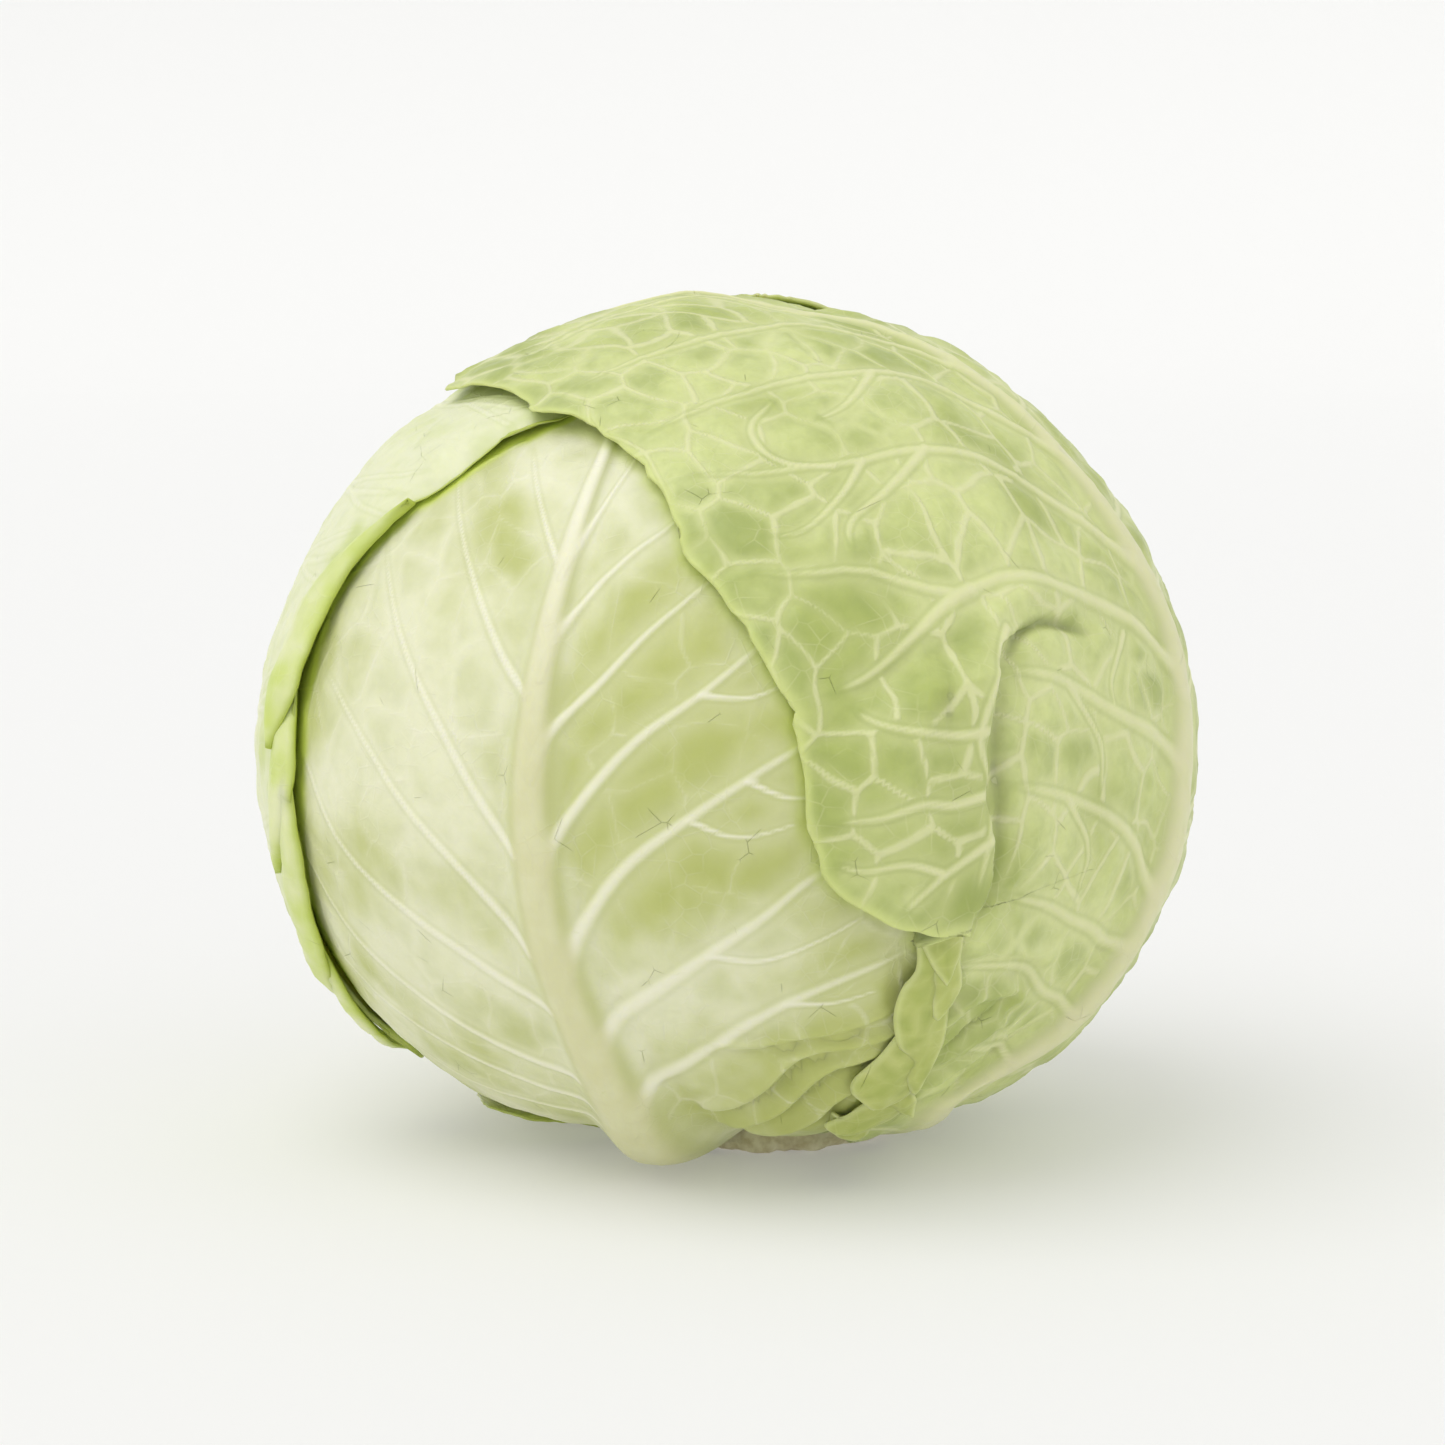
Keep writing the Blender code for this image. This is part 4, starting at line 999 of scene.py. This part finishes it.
    # fine relief: veins and threads stand up, creases cut in, and the skin has a soft grain
    height = times(line, 0.30)
    for field, amount in ((net, 0.35), (thread, 0.10), (creaseShade, -0.40),
                          (noiseNode(nodes, links, body, 900.0, 3.0), 0.06),
                          (noiseNode(nodes, links, body, 240.0, 3.0), 0.75)):
        height = mathNode(nodes, links, "MULTIPLY_ADD", field, amount, height)
    bump = nodes.new("ShaderNodeBump")
    bump.inputs["Strength"].default_value = 0.7
    bump.inputs["Distance"].default_value = 0.0006
    links.new(height, bump.inputs["Height"])
    links.new(bump.outputs["Normal"], shader.inputs["Normal"])
    return material


def stalkMaterial():
    material, nodes, links, shader = newMaterial("cutStalk", 0.7, 0.25)
    where = nodes.new("ShaderNodeTexCoord").outputs["Object"]
    fibre = noiseNode(nodes, links, where, 420.0, 4.0)
    colour = mixColour(nodes, links, ramp(nodes, links, fibre, 0.35, 0.7), (0.74, 0.70, 0.48),
                       (0.54, 0.48, 0.28))
    stain = ramp(nodes, links, noiseNode(nodes, links, where, 90.0, 3.0), 0.5, 0.7)
    colour = mixColour(nodes, links, mathNode(nodes, links, "MULTIPLY", stain, 0.45), colour,
                       (0.34, 0.26, 0.11))
    links.new(colour, shader.inputs["Base Color"])
    bump = nodes.new("ShaderNodeBump")
    bump.inputs["Strength"].default_value = 0.6
    bump.inputs["Distance"].default_value = 0.0008
    links.new(fibre, bump.inputs["Height"])
    links.new(bump.outputs["Normal"], shader.inputs["Normal"])
    return material


palette = {
    "frontLeaf": dict(pale=(0.82, 0.83, 0.57), green=(0.52, 0.56, 0.18), deep=(0.40, 0.45, 0.11),
                      vein=(0.92, 0.91, 0.71), rib=(0.71, 0.70, 0.41), rim=(0.58, 0.63, 0.22),
                      glow=(0.62, 0.74, 0.10),
                      cells=0.45),
    "leftLeaf": dict(pale=(0.82, 0.85, 0.56), green=(0.62, 0.70, 0.27), deep=(0.46, 0.56, 0.12),
                     vein=(0.84, 0.86, 0.60), rib=(0.66, 0.66, 0.35), rim=(0.46, 0.56, 0.08),
                     glow=(0.38, 0.48, 0.04),
                     cells=0.5),
    "coverLeaf": dict(pale=(0.68, 0.74, 0.32), green=(0.43, 0.50, 0.14), deep=(0.29, 0.36, 0.085),
                      vein=(0.76, 0.77, 0.44), rib=(0.74, 0.73, 0.44), rim=(0.64, 0.71, 0.26),
                      glow=(0.36, 0.44, 0.05)),
    "backLeaf": dict(pale=(0.64, 0.70, 0.30), green=(0.41, 0.47, 0.14), deep=(0.28, 0.34, 0.08),
                     vein=(0.70, 0.70, 0.38), rib=(0.66, 0.65, 0.35), rim=(0.56, 0.58, 0.16),
                     glow=(0.36, 0.44, 0.05)),
    "tornBase": dict(pale=(0.74, 0.78, 0.44), green=(0.60, 0.66, 0.26), deep=(0.44, 0.50, 0.12),
                     vein=(0.76, 0.78, 0.48), rib=(0.60, 0.60, 0.28), rim=(0.46, 0.54, 0.12),
                     glow=(0.36, 0.44, 0.05)),
    "frill": dict(pale=(0.56, 0.60, 0.20), green=(0.45, 0.51, 0.12), deep=(0.28, 0.36, 0.05),
                  vein=(0.66, 0.70, 0.30), rib=(0.60, 0.60, 0.28), rim=(0.70, 0.75, 0.34),
                  glow=(0.36, 0.46, 0.03)),
    "marginRolls": dict(pale=(0.80, 0.84, 0.48), green=(0.62, 0.73, 0.19), deep=(0.48, 0.60, 0.08),
                        vein=(0.82, 0.85, 0.52), rib=(0.60, 0.60, 0.28), rim=(0.46, 0.56, 0.07),
                        glow=(0.60, 0.70, 0.24),
                        cells=0.4),
}

for leaf in leaves:
    prepareLeaf(leaf)
leftLeaf["veins"] = (branchVeins(leftLeaf, "left", np.linspace(0.08, 0.78, 8), 1)
                     + branchVeins(leftLeaf, "right", np.linspace(0.05, 0.78, 8), 2))
backLeaf["veins"] = (branchVeins(backLeaf, "left", np.linspace(0.08, 0.78, 8), 3)
                     + branchVeins(backLeaf, "right", np.linspace(0.05, 0.78, 8), 4))
coverLeaf["veins"] = coverLeaf["veins"] + branchVeins(coverLeaf, "right", np.linspace(0.12, 0.8, 9), 5,
                                                      0.35)


def finish(piece, name):
    piece.data.materials.append(leafMaterial(name, **palette[name]))
    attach(piece, "root")
    print("made", name, len(piece.data.polygons), "faces")


for number, leaf in enumerate(leaves):
    finish(makeLeaf(leaf, leaves[:number], leaves[number + 1:]), leaf["name"])
finish(makeScraps(frill, leaves[:3]), "frill")
finish(makeScraps(marginRolls, leaves[:2]), "marginRolls")
stumpPiece = makeStump()
stumpPiece.data.materials.append(stalkMaterial())
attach(stumpPiece, "root")
print("made stump", len(stumpPiece.data.polygons), "faces")

innerFinish = leafMaterial("innerLeaves", **palette["frontLeaf"])
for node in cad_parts.values():
    node.data.materials.clear()
    node.data.materials.append(innerFinish)


stage = {"reach": 2.4, "curve": 0.9, "wall": 1.1, "sides": 96, "colour": (0.69, 0.69, 0.68), "glow": 0.2}


def makeStage():      # a turned bowl: a flat disc whose edge sweeps up into a low round wall
    bend = np.linspace(0, math.pi / 2, 24)
    radius = np.concatenate([[0.001, 0.5, 1.2], stage["reach"] + stage["curve"] * np.sin(bend),
                             [stage["reach"] + stage["curve"]]])
    height = np.concatenate([[0, 0, 0], stage["curve"] * (1 - np.cos(bend)), [stage["wall"]]])
    turn = np.linspace(0, 2 * math.pi, stage["sides"] + 1)
    points = np.stack([radius * np.cos(turn)[:, None], radius * np.sin(turn)[:, None],
                       height * np.ones((len(turn), 1))], -1)
    floor = makeMesh("floor", points.reshape(-1, 3), [gridFaces(*points.shape[:2])[:, ::-1]])
    material, _, _, shader = newMaterial("paperSweep", 0.9, 0.1)
    shader.inputs["Base Color"].default_value = (*stage["colour"], 1)
    shader.inputs["Emission Color"].default_value = (1, 1, 1, 1)
    # a faint light of its own, so shadows stay pale
    shader.inputs["Emission Strength"].default_value = stage["glow"]
    floor.data.materials.append(material)
    floor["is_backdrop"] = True


def addSun(name, azimuth, elevation, spread, strength, colour=(1, 1, 1)):
    data = bpy.data.lights.new(name, "SUN")
    data.angle, data.energy, data.color = math.radians(spread), strength, colour
    light = bpy.data.objects.new(name, data)
    bpy.context.scene.collection.objects.link(light)
    light.rotation_euler = (math.radians(90 - elevation), 0, math.radians(azimuth))


makeStage()
world = bpy.data.worlds.new("studio")
world.use_nodes = True
world.node_tree.nodes["Background"].inputs[0].default_value = (1, 1, 1, 1)
world.node_tree.nodes["Background"].inputs[1].default_value = 0.75
bpy.context.scene.world = world
addSun("key", -55, 60, 55, 0.98, (1.0, 0.995, 0.98))
addSun("fill", 65, 14, 80, 0.35)

view = {"distance": 0.80, "elevation": 8.0, "lens": 104.2, "aim": (-0.0102, 0.0, 0.0789)}
rise = math.radians(view["elevation"])
lens = bpy.data.cameras.new("camera")
lens.lens, lens.sensor_width = view["lens"], 36
lens.clip_start, lens.clip_end = 0.05, 20
camera = bpy.data.objects.new("camera", lens)
camera.location = (view["aim"][0], -view["distance"] * math.cos(rise),
                   view["aim"][2] + view["distance"] * math.sin(rise))
camera.rotation_euler = (math.pi / 2 - rise, 0, 0)
bpy.context.scene.collection.objects.link(camera)
bpy.context.scene.camera = camera
bpy.context.scene.view_settings.view_transform = "Standard"
print("floor, light and camera placed")
